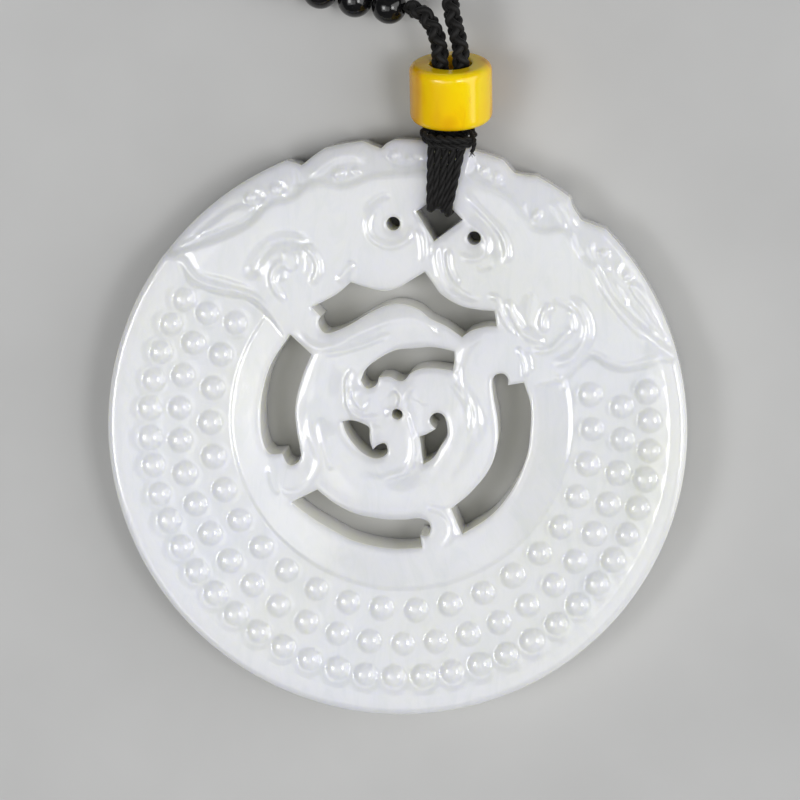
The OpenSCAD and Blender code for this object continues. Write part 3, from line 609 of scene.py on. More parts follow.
def face_height(Q, rim_gap, hole_gap):
    """Height of the carved face over each place, from its distance to the outline and to the holes."""
    z = np.full(len(Q), DISC_T)
    past_rim, past_heads, past_band = field_gaps(Q)
    in_heads = smooth(0.5 - past_heads / 0.6)
    slope = np.clip(past_rim / FIELD_SLOPE_W, 0, 1)
    r = np.hypot(Q[:, 0], Q[:, 1])

    # The plain band falls outward, and the rim is a little convex
    fall = (from_centre(Q, BAND_CENTRE) - DISC_R * BAND_IN) / (DISC_R * (BAND_OUT - BAND_IN))
    z -= np.where(r < DISC_R * 0.75, np.clip(fall, 0, 1) * BAND_FALL, 0) * (1 - in_heads)
    across_rim = np.clip(rim_gap / RIM_W * 2 - 1, -1, 1)
    z -= RIM_CROWN * across_rim**2 * (1 - slope) * (1 - in_heads)
    # The field falls over a long gentle slope from the rim, and quickly from the heads and the band
    wall = (0.04 * smooth(past_rim / 0.45 + 0.5) + 0.96 * slope) * smooth(past_heads / 0.9 + 0.35)
    z = z + (FIELD_Z - z) * wall * smooth((past_band + 0.12) / 0.32)
    z += 0.03 * waviness(Q, 9, 3) * wall

    # Low crest strips above the cheeks, and the top edge that falls outward
    for ring in (closed_beyond(LEFT_CREST, 4, 1.2, (83, 100, 120, 143)),
                 closed_beyond(RIGHT_CREST, 4, 1.25, (16, 36, 56, 74.5))):
        z -= CREST_DEPTH * smooth(depth_in(Q, ring) / 0.7 + 0.35) * in_heads
    z -= TOP_FALL * np.clip((r - TOP_FALL_R) / (DISC_R - TOP_FALL_R), 0, 1)**1.5 * in_heads
    for angle, share, reach, lift in CHEEKS:
        c = polar([angle, share])
        z += lift * np.exp(-((Q[:, 0] - c[0])**2 + (Q[:, 1] - c[1])**2) / reach**2) * in_heads

    for outline, lift, width in RAISED:
        ring = carved(outline, 5, True)
        near = around(Q, ring, 1)
        z[near] += lift * smooth(depth_in(Q[near], ring) / width + 0.4)
    for points, width, deep in LINES:
        soft, share = (RIDGE_REACH, RIDGE_LIFT) if deep < 0 else (GROOVE_REACH, GROOVE_LIFT)
        add_ridge(z, Q, carved(points, 5), 3 * width, soft * width, -deep * share, 0.16, 0.1)
    for dome in DOMES:
        add_dome(z, Q, *dome)
    for points, reach, lift in RIDGES:
        add_ridge(z, Q, curve(points, 6), 2.4 * reach, reach, lift, 0.2)
    for points, lift, reach in SWELLS:
        add_ridge(z, Q, curve(points, 6), 2.2 * reach, reach, lift, 0.12)
    for points, *sides in STEPS:
        add_step(z, Q, curve(points, 6), *sides)
    add_dots(z, Q)

    z -= HOLE_FALL * np.clip(1 - hole_gap / HOLE_FALL_W, 0, 1)**2
    return z - round_off(hole_gap, HOLE_EDGE_R) - round_off(rim_gap, FACE_EDGE_R)


def back_height(Q, rim_gap, hole_gap):
    """Height of the flat back over each place, with the channel for the cord loop."""
    u, v = (Q - HOLE_MID) @ SIDE_DIR, (Q - HOLE_MID) @ CORD_DIR
    half = 2.5 * STRAND_W + 2 * math.sin(math.radians(FAN_DEGREES)) * np.clip(v, 0, None) + 3 * CLEAR + 0.15
    z = CHANNEL_DEPTH * smooth((half - np.abs(u)) / 0.3 + 0.5) * (v > 0)
    return z + round_off(hole_gap, BACK_HOLE_EDGE_R) + round_off(rim_gap, EDGE_R)


def inset(ring, d, hole):
    """The ring's points moved into the stone by d."""
    side = np.roll(ring, -1, axis=0) - np.roll(ring, 1, axis=0)
    side /= np.maximum(np.linalg.norm(side, axis=1), TINY)[:, None]
    area = 0.5 * np.sum(ring[:, 0] * np.roll(ring[:, 1], -1) - np.roll(ring[:, 0], -1) * ring[:, 1])
    inward = np.stack([-side[:, 1], side[:, 0]], axis=1) * (1 if area > 0 else -1)
    return ring + d * inward * (-1 if hole else 1)


def gap_finder(rings):
    """A function that gives the distance of each place from the nearest of these rings."""
    at, ahead, back = (np.vstack([np.roll(ring, k, axis=0) for ring in rings]) for k in (0, -1, 1))
    tree = KDTree(len(at))
    for i, p in enumerate(at):
        tree.insert((p[0], p[1], 0), i)
    tree.balance()

    def find(Q):
        near = np.array([tree.find((p[0], p[1], 0))[1] for p in Q])
        best = np.full(len(Q), FAR)
        for other in (ahead, back):
            a, d = at[near], other[near] - at[near]
            t = np.clip(((Q - a) * d).sum(axis=1) / np.maximum((d * d).sum(axis=1), TINY), 0, 1)
            off = Q - a - t[:, None] * d
            best = np.minimum(best, np.hypot(off[:, 0], off[:, 1]))
        return best

    return find


def within(Q, rings):
    """Which places lie on the stone, inside the first ring and outside the others."""
    r = np.hypot(Q[:, 0], Q[:, 1])
    ok = r < DISC_R
    far = np.nonzero(ok & (r > 0.94 * DISC_R))[0]
    ok[far] = inside(Q[far], rings[0])
    for ring in rings[1:]:
        near = around(Q, ring, 0.1)
        ok[near] &= ~inside(Q[near], ring)
    return ok


def hexes(grid, low, high):
    """Even rows of places over a rectangle."""
    out = []
    for j in range(int((high[1] - low[1]) / (grid * ROW_STEP)) + 1):
        n = int((high[0] - low[0]) / grid) + 1
        x = low[0] + (np.arange(n) + (j % 2) / 2) * grid
        out.append(np.stack([x, np.full(n, low[1] + j * grid * ROW_STEP)], axis=1))
    return np.vstack(out)


def jade_sheet(rings, places, rows, height):
    """One face of the disc: triangles over the stone between the rings, lifted to their height."""
    outer_rows, hole_rows = rows
    sizes = [len(ring) for ring in rings]
    start = [sum(sizes[:i]) for i in range(len(rings))]
    edges = [(s + i, s + (i + 1) % n) for s, n in zip(start, sizes) for i in range(n)]
    rim_of, hole_of = gap_finder(rings[:1]), gap_finder(rings[1:])

    spread = []
    for ring in rings:
        hole = ring is not rings[0]
        for d in hole_rows if hole else outer_rows:
            P = inset(ring, d, hole)
            P = P[within(P, rings)]
            spread.append(P[np.minimum(rim_of(P), hole_of(P)) > ROW_KEEP * d])
    places = places[within(places, rings)]
    spread.append(places[(rim_of(places) > outer_rows[-1] + ROW_CLEAR)
                         & (hole_of(places) > hole_rows[-1] + ROW_CLEAR)])
    flat = [Vector((p[0], p[1])) for p in np.vstack(rings + spread)]
    verts, _, faces, orig, _, _ = delaunay_2d_cdt(flat, edges, [], 0, 1e-6)
    V = np.array([(v.x, v.y) for v in verts])
    F = np.array(faces)
    F = F[within(V[F].mean(axis=1), rings)]
    first = {}
    for i, sources in enumerate(orig):
        for k in sources:
            first[k] = i
    border = [[first[s + i] for i in range(n)] for s, n in zip(start, sizes)]
    return np.column_stack([V, height(V, rim_of(V), hole_of(V))]), F, border


class Pile:
    """Mesh parts gathered in millimetres, with a straightened place for each vertex of a fibre or bead."""

    def __init__(self):
        self.verts, self.faces, self.straight, self.count = [], [], [], 0

    def add(self, verts, faces, straight=None):
        self.faces += [tuple(int(i) + self.count for i in f) for f in faces]
        self.verts.append(np.asarray(verts, float))
        self.straight.append(np.zeros((len(verts), 3)) if straight is None else np.asarray(straight, float))
        self.count += len(verts)

    def build(self, name, finish, slot, *nodes, outward=False):
        """Makes the piece, with its faces turned outward where that is asked."""
        mesh = bpy.data.meshes.new(name)
        mesh.from_pydata((np.vstack(self.verts) * MM).tolist(), [], self.faces)
        if outward:
            bm = bmesh.new()
            bm.from_mesh(mesh)
            bmesh.ops.recalc_face_normals(bm, faces=bm.faces)
            bm.to_mesh(mesh)
            bm.free()
        mesh.polygons.foreach_set("use_smooth", [True] * len(mesh.polygons))
        lay = mesh.attributes.new("straight", "FLOAT_VECTOR", "POINT")
        lay.data.foreach_set("vector", np.vstack(self.straight).ravel().astype(np.float32))
        mesh.materials.append(finish)
        mesh.update()
        obj = bpy.data.objects.new(name, mesh)
        bpy.context.collection.objects.link(obj)
        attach(obj, "root")
        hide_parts(*nodes)


# Places of the colour sockets of a mix node
MIX_A, MIX_B, MIX_OUT = 6, 7, 2


class Finish:
    """A material, put together from nodes."""

    def __init__(self, name):
        self.mat = bpy.data.materials.new(name)
        self.mat.use_nodes = True
        self.tree = self.mat.node_tree
        self.shader = self.tree.nodes["Principled BSDF"]

    def node(self, kind, values=None, **settings):
        n = self.tree.nodes.new(kind)
        for key, value in settings.items():
            setattr(n, key, value)
        for key, value in (values or {}).items():
            n.inputs[key].default_value = value
        return n

    def join(self, a, b, out=0, into=0):
        self.tree.links.new(a.outputs[out], b.inputs[into])

    def mapping(self, place, out, values):
        n = self.node("ShaderNodeMapping", values)
        self.join(place, n, out)
        return n

    def noise(self, place, out, scale, detail, roughness=0.5, distortion=0):
        n = self.node("ShaderNodeTexNoise", {"Scale": scale, "Detail": detail, "Roughness": roughness,
                                             "Distortion": distortion})
        self.join(place, n, out)
        return n

    def tone(self, noise, *stops):
        """Colours by the strength of a noise: (strength, colour) for each stop."""
        n = self.node("ShaderNodeValToRGB")
        band = n.color_ramp
        for element, (at, colour) in zip(band.elements, (stops[0], stops[-1])):
            element.position, element.color = at, (*colour, 1)
        for at, colour in stops[1:-1]:
            band.elements.new(at).color = (*colour, 1)
        self.join(noise, n, "Fac", "Fac")
        return n

    def multiply(self, a, b, factor):
        n = self.node("ShaderNodeMix", {"Factor": factor}, data_type="RGBA", blend_type="MULTIPLY")
        self.join(a, n, "Color", MIX_A)
        self.join(b, n, "Color", MIX_B)
        return n

    def colour(self, source, out):
        self.join(source, self.shader, out, "Base Color")

    def polish(self, noise, low, high):
        """Roughness between two values, by the strength of a noise."""
        n = self.node("ShaderNodeMapRange", {"To Min": low, "To Max": high})
        self.join(noise, n, "Fac", "Value")
        self.join(n, self.shader, 0, "Roughness")

    def bump(self, noise, strength, distance, over=None):
        """Fine relief from a noise, on top of another relief where one is given."""
        n = self.node("ShaderNodeBump", {"Strength": strength, "Distance": distance})
        self.join(noise, n, "Fac", "Height")
        if over:
            self.join(over, n, 0, "Normal")
        self.join(n, self.shader, 0, "Normal")
        return n

    def set(self, values):
        for key, value in values.items():
            self.shader.inputs[key].default_value = value
        return self.mat


def jade_finish():
    finish = Finish("polished_jade")
    place = finish.node("ShaderNodeTexCoord")
    # Slow change from a cool white to a creamy green white, with soft clouds and a few fibres in the stone
    cloud = finish.noise(place, "Object", 55, 4, 0.55, 0.6)
    warp = finish.mapping(place, "Object", {"Scale": (1, 0.35, 1), "Rotation": (0, 0, 0.6)})
    fibre = finish.noise(warp, 0, 420, 5, 0.65, 1.5)
    tone = finish.tone(cloud, (0.36, (0.80, 0.815, 0.845)), (0.52, (0.81, 0.82, 0.83)),
                       (0.68, (0.80, 0.81, 0.79)))
    vein = finish.tone(fibre, (0.35, (0.93, 0.945, 0.94)), (0.55, (1, 1, 1)), (0.72, (0.97, 0.975, 0.95)))
    stone = finish.multiply(tone, vein, 0.7)
    # Painted glow: the upright walls of the openings are coloured lighter and creamier than the faces,
    # standing in for light that passes through the stone
    facing = finish.node("ShaderNodeSeparateXYZ")
    upright = finish.node("ShaderNodeMath", operation="ABSOLUTE")
    painted_glow_share = finish.node("ShaderNodeMapRange", {"From Min": 0.6, "From Max": 0.15})
    walls = finish.node("ShaderNodeMix", {MIX_B: (0.97, 0.965, 0.9, 1)}, data_type="RGBA")
    finish.join(place, facing, "Normal")
    finish.join(facing, upright, "Z")
    finish.join(upright, painted_glow_share, 0, "Value")
    finish.join(painted_glow_share, walls, 0, "Factor")
    finish.join(stone, walls, MIX_OUT, MIX_A)
    finish.colour(walls, MIX_OUT)
    finish.polish(fibre, 0.05, 0.13)
    soft = finish.bump(finish.noise(place, "Object", 900, 3), 0.25, 0.00005)
    finish.bump(finish.noise(place, "Object", 2400, 3), 0.15, 0.00001, soft)
    return finish.set({"Subsurface Weight": 0.8, "Subsurface Radius": (1.0, 1.0, 0.7),
                       "Subsurface Scale": 0.006, "IOR": 1.64})


def cord_finish():
    """Black waxed cord, with fine fibres that run along its strands."""
    finish = Finish("waxed_black_cord")
    colour = np.array((0.0065, 0.0058, 0.0055))
    place = finish.node("ShaderNodeAttribute", attribute_name="straight")
    squeeze = finish.mapping(place, "Vector", {"Scale": (0.12, 1, 1)})
    hair = finish.noise(squeeze, 0, 9, 4, 0.6)
    finish.colour(finish.tone(hair, (0.3, colour * 0.45), (0.6, colour), (0.8, colour * 2.6)), "Color")
    finish.polish(finish.noise(place, "Vector", 0.9, 2), 0.5, 0.75)
    finish.bump(hair, 0.6, 0.00006)
    return finish.set({"Specular IOR Level": 0.3, "Sheen Weight": 0.08, "Sheen Roughness": 0.4})


def amber_finish():
    finish = Finish("yellow_amber")
    place = finish.node("ShaderNodeTexCoord")
    turned = finish.mapping(place, "Object", {"Scale": (1, 0.35, 1), "Location": (0.0043, 0, 0)})
    cloud = finish.noise(turned, 0, 190, 3, 0.45, 0.5)
    vein = finish.noise(turned, 0, 420, 4, 0.6, 0.7)
    tone = finish.tone(cloud, (0.32, (0.74, 0.36, 0.0)), (0.44, (1.0, 0.62, 0.0)),
                       (0.6, (1.0, 0.72, 0.001)))
    streak = finish.tone(vein, (0.3, (0.82, 0.68, 0.5)), (0.46, (1, 1, 1)), (0.75, (1.0, 0.97, 0.85)))
    finish.colour(finish.multiply(tone, streak, 0.5), MIX_OUT)
    finish.polish(vein, 0.1, 0.22)
    finish.bump(vein, 0.15, 0.00003)
    return finish.set({"Subsurface Weight": 0.25, "Subsurface Radius": (1.0, 0.6, 0.15),
                       "Subsurface Scale": 0.0015, "IOR": 1.54})


def agate_finish():
    finish = Finish("black_agate")
    place = finish.node("ShaderNodeAttribute", attribute_name="straight")
    band = finish.noise(place, "Vector", 0.9, 4, distortion=1.4)
    scuff = finish.noise(place, "Vector", 9, 5, 0.7)
    tone = finish.tone(band, (0.35, (0.0035, 0.0035, 0.004)), (0.6, (0.008, 0.0075, 0.008)),
                       (0.78, (0.02, 0.017, 0.016)))
    finish.colour(tone, "Color")
    finish.polish(scuff, 0.05, 0.17)
    finish.bump(scuff, 0.12, 0.00002)
    return finish.set({"IOR": 1.54})


def floor_finish():
    finish = Finish("pale_floor")
    grain = finish.noise(finish.node("ShaderNodeTexCoord"), "Object", 60, 3)
    finish.colour(finish.tone(grain, (0.3, (0.50, 0.50, 0.495)), (0.7, (0.53, 0.53, 0.525))), "Color")
    return finish.set({"Roughness": 0.6})


def aim(obj, place, at):
    """Points the object at a place, with its own top towards +Y."""
    z = (Vector(place) - Vector(at)).normalized()
    x = Vector((0, 1, 0)).cross(z).normalized()
    y = z.cross(x)
    obj.matrix_world = Matrix([(x[i], y[i], z[i], place[i]) for i in range(3)] + [(0, 0, 0, 1)])
    bpy.context.collection.objects.link(obj)


def set_stage():
    """Camera, lights and floor."""
    scene = bpy.context.scene
    data = bpy.data.cameras.new("camera")
    data.lens = CAMERA_LENS
    data.sensor_width = SENSOR_W
    data.clip_start = 0.01
    camera = bpy.data.objects.new("camera", data)
    aim(camera, [c * MM for c in CAMERA_PLACE], [c * MM for c in CAMERA_AIM])
    scene.camera = camera
    for name, place, at, wide, high, power in LIGHTS:
        data = bpy.data.lights.new(name, "AREA")
        data.shape = "RECTANGLE"
        data.size, data.size_y, data.energy = wide, high, power
        aim(bpy.data.objects.new(name, data), place, at)
    scene.world = bpy.data.worlds.new("soft_room")
    scene.world.use_nodes = True
    sky = scene.world.node_tree.nodes["Background"]
    sky.inputs["Color"].default_value = ROOM_COLOUR
    sky.inputs["Strength"].default_value = ROOM_LIGHT
    scene.view_settings.view_transform = "Standard"
    mesh = bpy.data.meshes.new("floor")
    bm = bmesh.new()
    bmesh.ops.create_grid(bm, x_segments=8, y_segments=8, size=FLOOR_HALF)
    bm.to_mesh(mesh)
    bm.free()
    mesh.materials.append(floor_finish())
    floor = bpy.data.objects.new("floor", mesh)
    floor.location = (0, 0.1, -0.0001)
    bpy.context.collection.objects.link(floor)


def build_jade(finish):
    """The disc: a carved face, a flat back and the walls between them."""
    step, grid = ((OUTLINE_STEP, GRID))
    rings = [outer_ring(step)]
    rings += [spaced_with_corners(table, step) for table in GAPS + [CORD_HOLE]]
    rings += [circle(polar([angle, share]), DRILL_D / 2 * size, DRILL_STEP)
              for angle, share, size in DRILLED]
    corners = ((-DISC_R, -DISC_R), (DISC_R, DISC_R))
    # Rows of points along the wall of the field, in place of the even ones there
    places = hexes(grid, *corners)
    mid, wall_r = DISC_R * np.array(FIELD_CENTRE), DISC_R - RIM_W
    places = places[np.abs(np.hypot(*(places - mid).T) - wall_r) > 1.3 * grid]
    places = np.vstack([places] + [circle(mid, wall_r + d, WALL_STEP) for d in WALL_ROWS])
    top, top_faces, top_border = jade_sheet(rings, places, FACE_ROWS, face_height)
    # Fine points on the back only round the channel
    channel = HOLE_MID + CHANNEL_BOX
    rough = hexes(BACK_GRID, *corners)
    rough = rough[((rough < channel[0]) | (rough > channel[1])).any(axis=1)]
    places = np.vstack([rough, hexes(CHANNEL_GRID, *channel)])
    low, low_faces, low_border = jade_sheet(rings, places, BACK_ROWS, back_height)

    pile = Pile()
    pile.add(top, top_faces)
    pile.add(low, low_faces[:, ::-1])
    for upper, lower in zip(top_border, low_border):
        n = len(upper)
        levels = []
        for share, shift in WALL_LEVELS:
            P = top[upper]
            P[:, 2] = low[lower, 2] + (P[:, 2] - low[lower, 2]) * share + shift
            levels.append(P)
        base = pile.count
        pile.add(np.vstack(levels), [])
        rows = [upper] + [[base + k * n + i for i in range(n)] for k in range(len(levels))]
        rows.append([i + len(top) for i in lower])
        for a, b in zip(rows, rows[1:]):
            pile.faces += [(a[i], b[i], b[(i + 1) % n], a[(i + 1) % n]) for i in range(n)]
    pile.build("carved_jade_disc", finish, "jade", "jade_disc", outward=True)


def frames(P, start=None, closed=False):
    """Directions along a path and two across it, with as little turning as can be."""
    n = len(P)
    along = np.roll(P, -1, axis=0) - np.roll(P, 1, axis=0) if closed else np.gradient(P, axis=0)
    along /= np.linalg.norm(along, axis=1)[:, None]
    if start is None:
        start = (1.0, 0.3, 0.2) if closed else np.cross(along[0], (0, 0, 1))
    s = np.array(start, float)
    side = np.zeros_like(P)
    for i in range(2 * n if closed else n):
        d = along[i % n]
        s = unit(s - d * (s @ d))
        side[i % n] = s
    return along, side, np.cross(along, side)


def tube(pile, P, radius, sides, twist=0.0, closed=False, seed=0):
    """A tube of fibres along P, with one radius or one for each place. The seed sets its fibres apart."""
    n = len(P)
    _, side, up = frames(P, closed=closed)
    radius = np.broadcast_to(radius, n)
    run = run_of(P)
    a = np.arange(sides) * TURN / sides
    ring = side[:, None, :] * np.cos(a)[None, :, None] + up[:, None, :] * np.sin(a)[None, :, None]
    verts = (P[:, None, :] + ring * radius[:, None, None]).reshape(-1, 3)
    turned = a[None, :] + twist * run[:, None]
    straight = np.stack([np.repeat(run[:, None], sides, axis=1) + 7.3 * seed,
                         np.cos(turned) * radius[:, None] + 3.1 * seed,
                         np.sin(turned) * radius[:, None] - 1.7 * seed], axis=2).reshape(-1, 3)
    faces = []
    for i in range(n if closed else n - 1):
        for k in range(sides):
            b, c, j = i * sides, ((i + 1) % n) * sides, (k + 1) % sides
            faces.append((b + k, b + j, c + j, c + k))
    if not closed:
        faces.append(tuple(range(sides - 1, -1, -1)))
        faces.append(tuple((n - 1) * sides + k for k in range(sides)))
    pile.add(verts, faces, straight)


def twisted(pile, P, plies, seed, phase=0.0, closed=True, sides=7, wobble=0.0):
    """Several plies wound round one path."""
    off, radius, count, pitch = plies
    _, side, up = frames(P, closed=closed)
    run = run_of(P)
    if closed:
        whole = run[-1] + np.linalg.norm(P[0] - P[-1])
        pitch = whole / max(1, round(whole / pitch))
    rng = random.Random(seed)
    for k in range(count):
        a = TURN * (run / pitch + k / count) + phase
        reach = off * (1 + wobble * np.sin(run * rng.uniform(0.8, 1.6) + rng.uniform(0, 6)))
        Q = P + reach[:, None] * (side * np.cos(a)[:, None] + up * np.sin(a)[:, None])
        tube(pile, Q, radius, sides, FIBRE_TWIST, closed, seed * 4 + k)


def rounded_loop(low, high, r):
    """A rounded rectangle in the plane along the cord, as (v, z)."""
    (v0, z0), (v1, z1) = low, high
    bends = ((v1 - r, z1 - r, 0), (v0 + r, z1 - r, 90), (v0 + r, z0 + r, 180), (v1 - r, z0 + r, 270))
    out = []
    for v, z, a0 in bends:
        for a in np.radians(np.linspace(a0, a0 + 90, 9)):
            out.append((v + r * math.cos(a), z + r * math.sin(a)))
    return spaced(np.array(out), PATH_STEP, True)


# Barrel bead: the frame that its bore, the knot and the braids share
BARREL_LOW = (BARREL_D / 2 - BARREL_R) * math.cos(BARREL_TILT) + BARREL_R * (1 - math.sin(BARREL_TILT))
LOOP_OUT = HOLE_MID + CORD_DIR * (EDGE_V + CLEAR + STRAND_T)
BARREL_FOOT = np.array([
    LOOP_OUT[0] + 0.2,
    LOOP_OUT[1] + KNOT_D / 2 - 0.2 + (KNOT_D / 2 + CLEAR) * math.cos(BARREL_TILT)
    + KNOT_D * 0.8 * math.sin(BARREL_TILT),
    BARREL_LOW])
BARREL_DIR = np.array([0, math.cos(BARREL_TILT), math.sin(BARREL_TILT)])
BARREL_DOWN = np.array([0, math.sin(BARREL_TILT), -math.cos(BARREL_TILT)])
MOUTH = BARREL_FOOT + BARREL_L * BARREL_DIR
BRAID_OFF = BRAID_D / 2 + 0.07
BARREL_BORE = 2 * (BRAID_OFF + BRAID_D / 2 + CLEAR)
NECK = [np.array([MOUTH[0] + x, MOUTH[1] + y, STRING_D / 2 + lift]) for x, y, lift in NECK_ROUTE]


def at_barrel(x, down, along):
    return BARREL_FOOT + np.array([x, 0, 0]) + down * BARREL_DOWN + along * BARREL_DIR


def knot_turn(k):
    """One flattened turn of the stopper knot, below the foot of the barrel bead."""
    taper, room, shift, tilt = 0.16, 0.32, 0.08, 0.09
    w = KNOT_W / 2 - taper * abs(k + 0.5) - room
    ring = []
    for a in np.linspace(0, TURN, 60, endpoint=False):
        c, s = math.cos(a), math.sin(a)
        x = math.copysign(w - KNOT_TURN_R, c) + KNOT_TURN_R * c if abs(c) > 0.02 else 0
        ring.append((x, s * KNOT_TURN_R))
    down, lean = (k + 0.5) * KNOT_PITCH, tilt * (1 if k % 2 else -1)
    return np.array([at_barrel(shift * k + x, down + lean * x * 0.5, -KNOT_D / 2 - CLEAR + z)
                     for x, z in spaced(np.array(ring), PATH_STEP, True)])


def add_cut_end(pile):
    """The cut end of the knot's cord, with loose hairs."""
    tail = curve(TAIL, 10)
    twisted(pile, tail, TAIL_PLIES, 40, closed=False)
    rng = random.Random(8)
    for k in range(9):
        a = tail[-1] + np.array([rng.uniform(-0.08, 0.08) for _ in range(3)])
        b = a + np.array([rng.uniform(-0.25, 0.35), -rng.uniform(0.25, 0.6), rng.uniform(-0.02, 0.12)])
        bend = (a + b) / 2 + np.array([rng.uniform(-0.1, 0.1), 0, 0.05])
        hair = curve([tail[-3], a, bend, b], 4)
        tube(pile, hair, np.linspace(0.04, 0.018, len(hair)), 5, seed=k + 60)


def build_loop(finish):
    """Five strands through the cord hole and round the rim, with the wound stopper knot."""
    pile = Pile()
    half = STRAND_T / 2
    for i in range(-2, 3):
        u = i * STRAND_LAP * STRAND_W
        wall = min(hole_roof(u - STRAND_W / 2), hole_roof(u + STRAND_W / 2)) - CLEAR
        line = rounded_loop((wall - half, CHANNEL_DEPTH - CLEAR - half),
                            (EDGE_V + CLEAR + half, DISC_T + CLEAR + half), LOOP_BEND)
        fan = math.radians(-i * FAN_DEGREES)
        lift = 0.05 if i % 2 else 0
        P = [(*from_cord(u - v * math.sin(fan), v * math.cos(fan)), z - lift * (z > 3)) for v, z in line]
        twisted(pile, np.array(P), STRAND_PLIES, i + 5, i * 1.1, wobble=0.08)
    for k in range(-3, 3):
        twisted(pile, knot_turn(k), KNOT_PLIES, k + 20, k * 1.3)
    shrink, pitch, sink = 0.04, 0.6, 0.06
    for k in range(2):
        ring = [(LOOP_OUT[0] + x * (1 - shrink * k), LOOP_OUT[1] + y - pitch * k * move, z - sink * k)
                for x, y, z, move in FRONT_TURN]
        twisted(pile, spaced(curve(ring, 8, True), PATH_STEP, True), FRONT_PLIES, k + 30, 1.7 * k)
    add_cut_end(pile)
    pile.build("wound_cord_loop", finish, "black_cord", "bail_loop")


def lathe(outline, sides):
    """Faces of a closed outline that is turned round an axis."""
    m = len(outline)
    return [(a + i, a + (i + 1) % m, b + (i + 1) % m, b + i)
            for a, b in ((j * m, (j + 1) % sides * m) for j in range(sides)) for i in range(m)]


def build_barrel(finish):
    """A turned bead with soft edges, a little out of true as a hand-polished one."""
    bore, r, e = BARREL_BORE / 2, BARREL_D / 2, BORE_LIP
    outline = []

    def arc(cx, cz, radius, a0, a1, steps):
        for a in np.radians(np.linspace(a0, a1, steps)):
            outline.append((cx + radius * math.cos(a), cz + radius * math.sin(a)))

    arc(bore + e, e, e, 180, 270, 6)
    outline.extend((x, 0) for x in np.linspace(bore + e, r - BARREL_R, 6)[1:-1])
    arc(r - BARREL_R, BARREL_R, BARREL_R, -90, 0, 12)
    outline.extend((r, z) for z in np.linspace(BARREL_R, BARREL_L - BARREL_R, 14)[1:-1])
    arc(r - BARREL_R, BARREL_L - BARREL_R, BARREL_R, 0, 90, 12)
    outline.extend((x, BARREL_L) for x in np.linspace(r - BARREL_R, bore + e, 6)[1:-1])
    arc(bore + e, BARREL_L - e, e, 90, 180, 6)
    outline.extend((bore, z) for z in np.linspace(BARREL_L - e, e, 10)[1:-1])
    verts = []
    for j in range(BARREL_SIDES):
        a = TURN * j / BARREL_SIDES
        dent = 0.018 * math.sin(2 * a + 0.7) + 0.012 * math.sin(3 * a + 2)
        for x, z in outline:
            out = x - (0.02 + dent) * (x - bore) / (r - bore)
            verts.append(at_barrel(out * math.cos(a), -out * math.sin(a), z))
    pile = Pile()
    pile.add(verts, lathe(outline, BARREL_SIDES))
    pile.build("amber_barrel", finish, "yellow_amber", "barrel_bead", outward=True)


def braid(pile, way, seed):
    """Four strands, two wound each way, that pass over and under each other."""
    P = spaced(way, 0.1)
    _, side, up = frames(P, (1, 0, 0))
    run = run_of(P)
    ends = 0.35 + 0.65 * smooth((run[-1] - run) / 0.8)
    for k in range(4):
        turn = 1 if k < 2 else -1
        a = turn * TURN * run / BRAID_PITCH + (k % 2) * math.pi + (0 if k < 2 else math.pi / 2)
        over = turn * np.sin(2 * TURN * run / BRAID_PITCH)
        reach = (BRAID_REACH + BRAID_CROSS * over) * ends
        Q = P + reach[:, None] * (side * np.cos(a)[:, None] + up * np.sin(a)[:, None])
        thick = BRAID_PLY_R * (0.5 + 0.5 * ends) * (1 + 0.04 * np.sin(run * 2.3 + k + seed))
        tube(pile, Q, thick, 11, 3.0 * turn, seed=seed * 5 + k)


def build_braids(finish):
    for name, node, hand, rise, last, seed in (
            ("braided_cord_left", "left_braid", -1, LEFT_RISE, NECK[0], 11),
            ("braided_cord_right", "right_braid", 1, RIGHT_RISE, NECK[-1], 23)):
        out = np.array([hand * BRAID_OFF, 0, 0])
        P = [BARREL_FOOT - CLEAR * BARREL_DIR + out, MOUTH + out]
        P += [MOUTH + np.array(p) for p in rise] + [last]
        pile = Pile()
        braid(pile, curve(P, 12), seed)
        pile.build(name, finish, "black_cord", node)


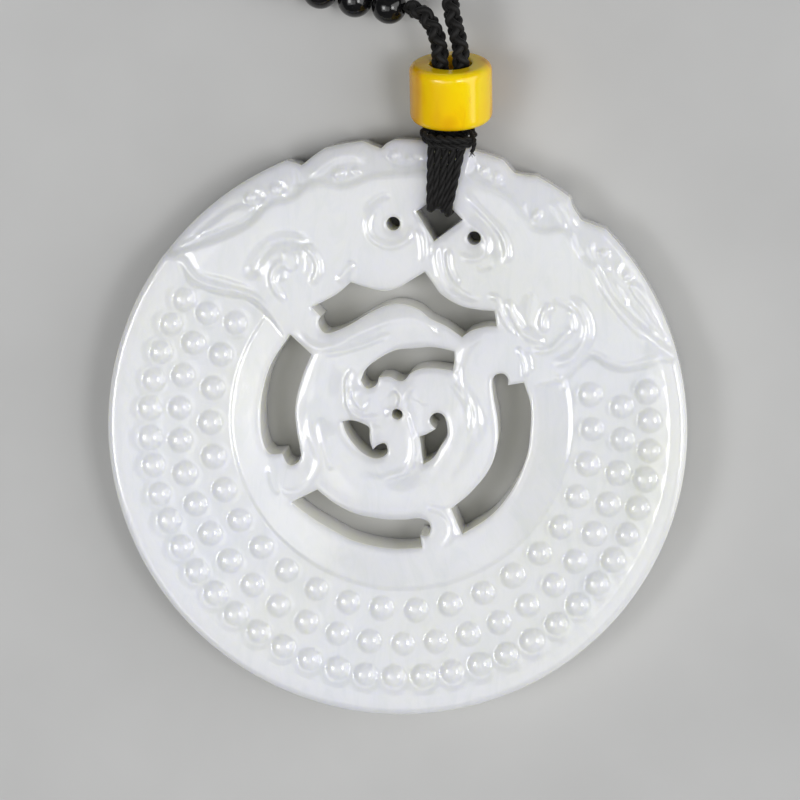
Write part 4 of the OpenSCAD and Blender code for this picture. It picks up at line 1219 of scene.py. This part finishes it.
def build_string(cord, stone):
    """Thread and drilled beads of the neck string."""
    way = curve(NECK, 6)
    run = run_of(way)
    pile = Pile()
    twisted(pile, spaced(way, 0.3), THREAD_PLIES, 3, closed=False, sides=6)
    pile.build("twisted_thread", cord, "black_cord", "neck_thread")

    first = STRING_D / 2 + STRING_GAP
    count = int((run[-1] - 2 * first) / (STRING_D + STRING_GAP)) + 1
    pitch = (run[-1] - 2 * first) / (count - 1)
    sides, arcs = BEAD_MESH
    bore, r = STRING_BORE / 2, STRING_D / 2
    top = math.asin((bore + STRING_LIP) / r)
    outline = [(r * math.sin(a), r * math.cos(a)) for a in np.linspace(top, math.pi - top, arcs)]
    edge, soft = r * math.cos(top), bore + 0.4 * STRING_LIP
    outline += [(soft, -edge + 0.01), (bore, -edge + STRING_LIP), (bore, 0), (bore, edge - STRING_LIP),
                (soft, edge - 0.01)]
    turns = [TURN * j / sides for j in range(sides)]
    local = np.array([(x * math.cos(a), x * math.sin(a), z) for a in turns for x, z in outline])
    faces = [(a, d, c, b) for a, b, c, d in lathe(outline, sides)]
    rng = random.Random(17)
    half = count // 2
    for name, node, numbers in (("agate_beads_left", "left_beads", range(half)),
                                ("agate_beads_right", "right_beads", range(half, count))):
        pile = Pile()
        for i in numbers:
            s = first + i * pitch
            k = min(int(np.searchsorted(run, s, side="right")) - 1, len(way) - 2)
            d = unit(way[k + 1] - way[k])
            x = unit(np.cross((0, 0, 1), d))
            y = np.cross(d, x)
            roll = rng.uniform(0, 6.28)
            size, fat = 1 - rng.uniform(0, BEAD_CHANGE), 1 - rng.uniform(0, BEAD_CHANGE)
            c, w = math.cos(roll), math.sin(roll)
            shape = (np.outer(local[:, 0], x * c + y * w) * fat + np.outer(local[:, 1], y * c - x * w)
                     + np.outer(local[:, 2], d))
            pile.add(way[k] + d * (s - run[k]) + size * shape, faces,
                     local + np.array([9.0 * i, 4.0 * rng.random(), 0]))
        pile.build(name, stone, "black_agate", node)


set_stage()
build_jade(jade_finish())
black_cord = cord_finish()
build_loop(black_cord)
build_barrel(amber_finish())
build_braids(black_cord)
build_string(black_cord, agate_finish())
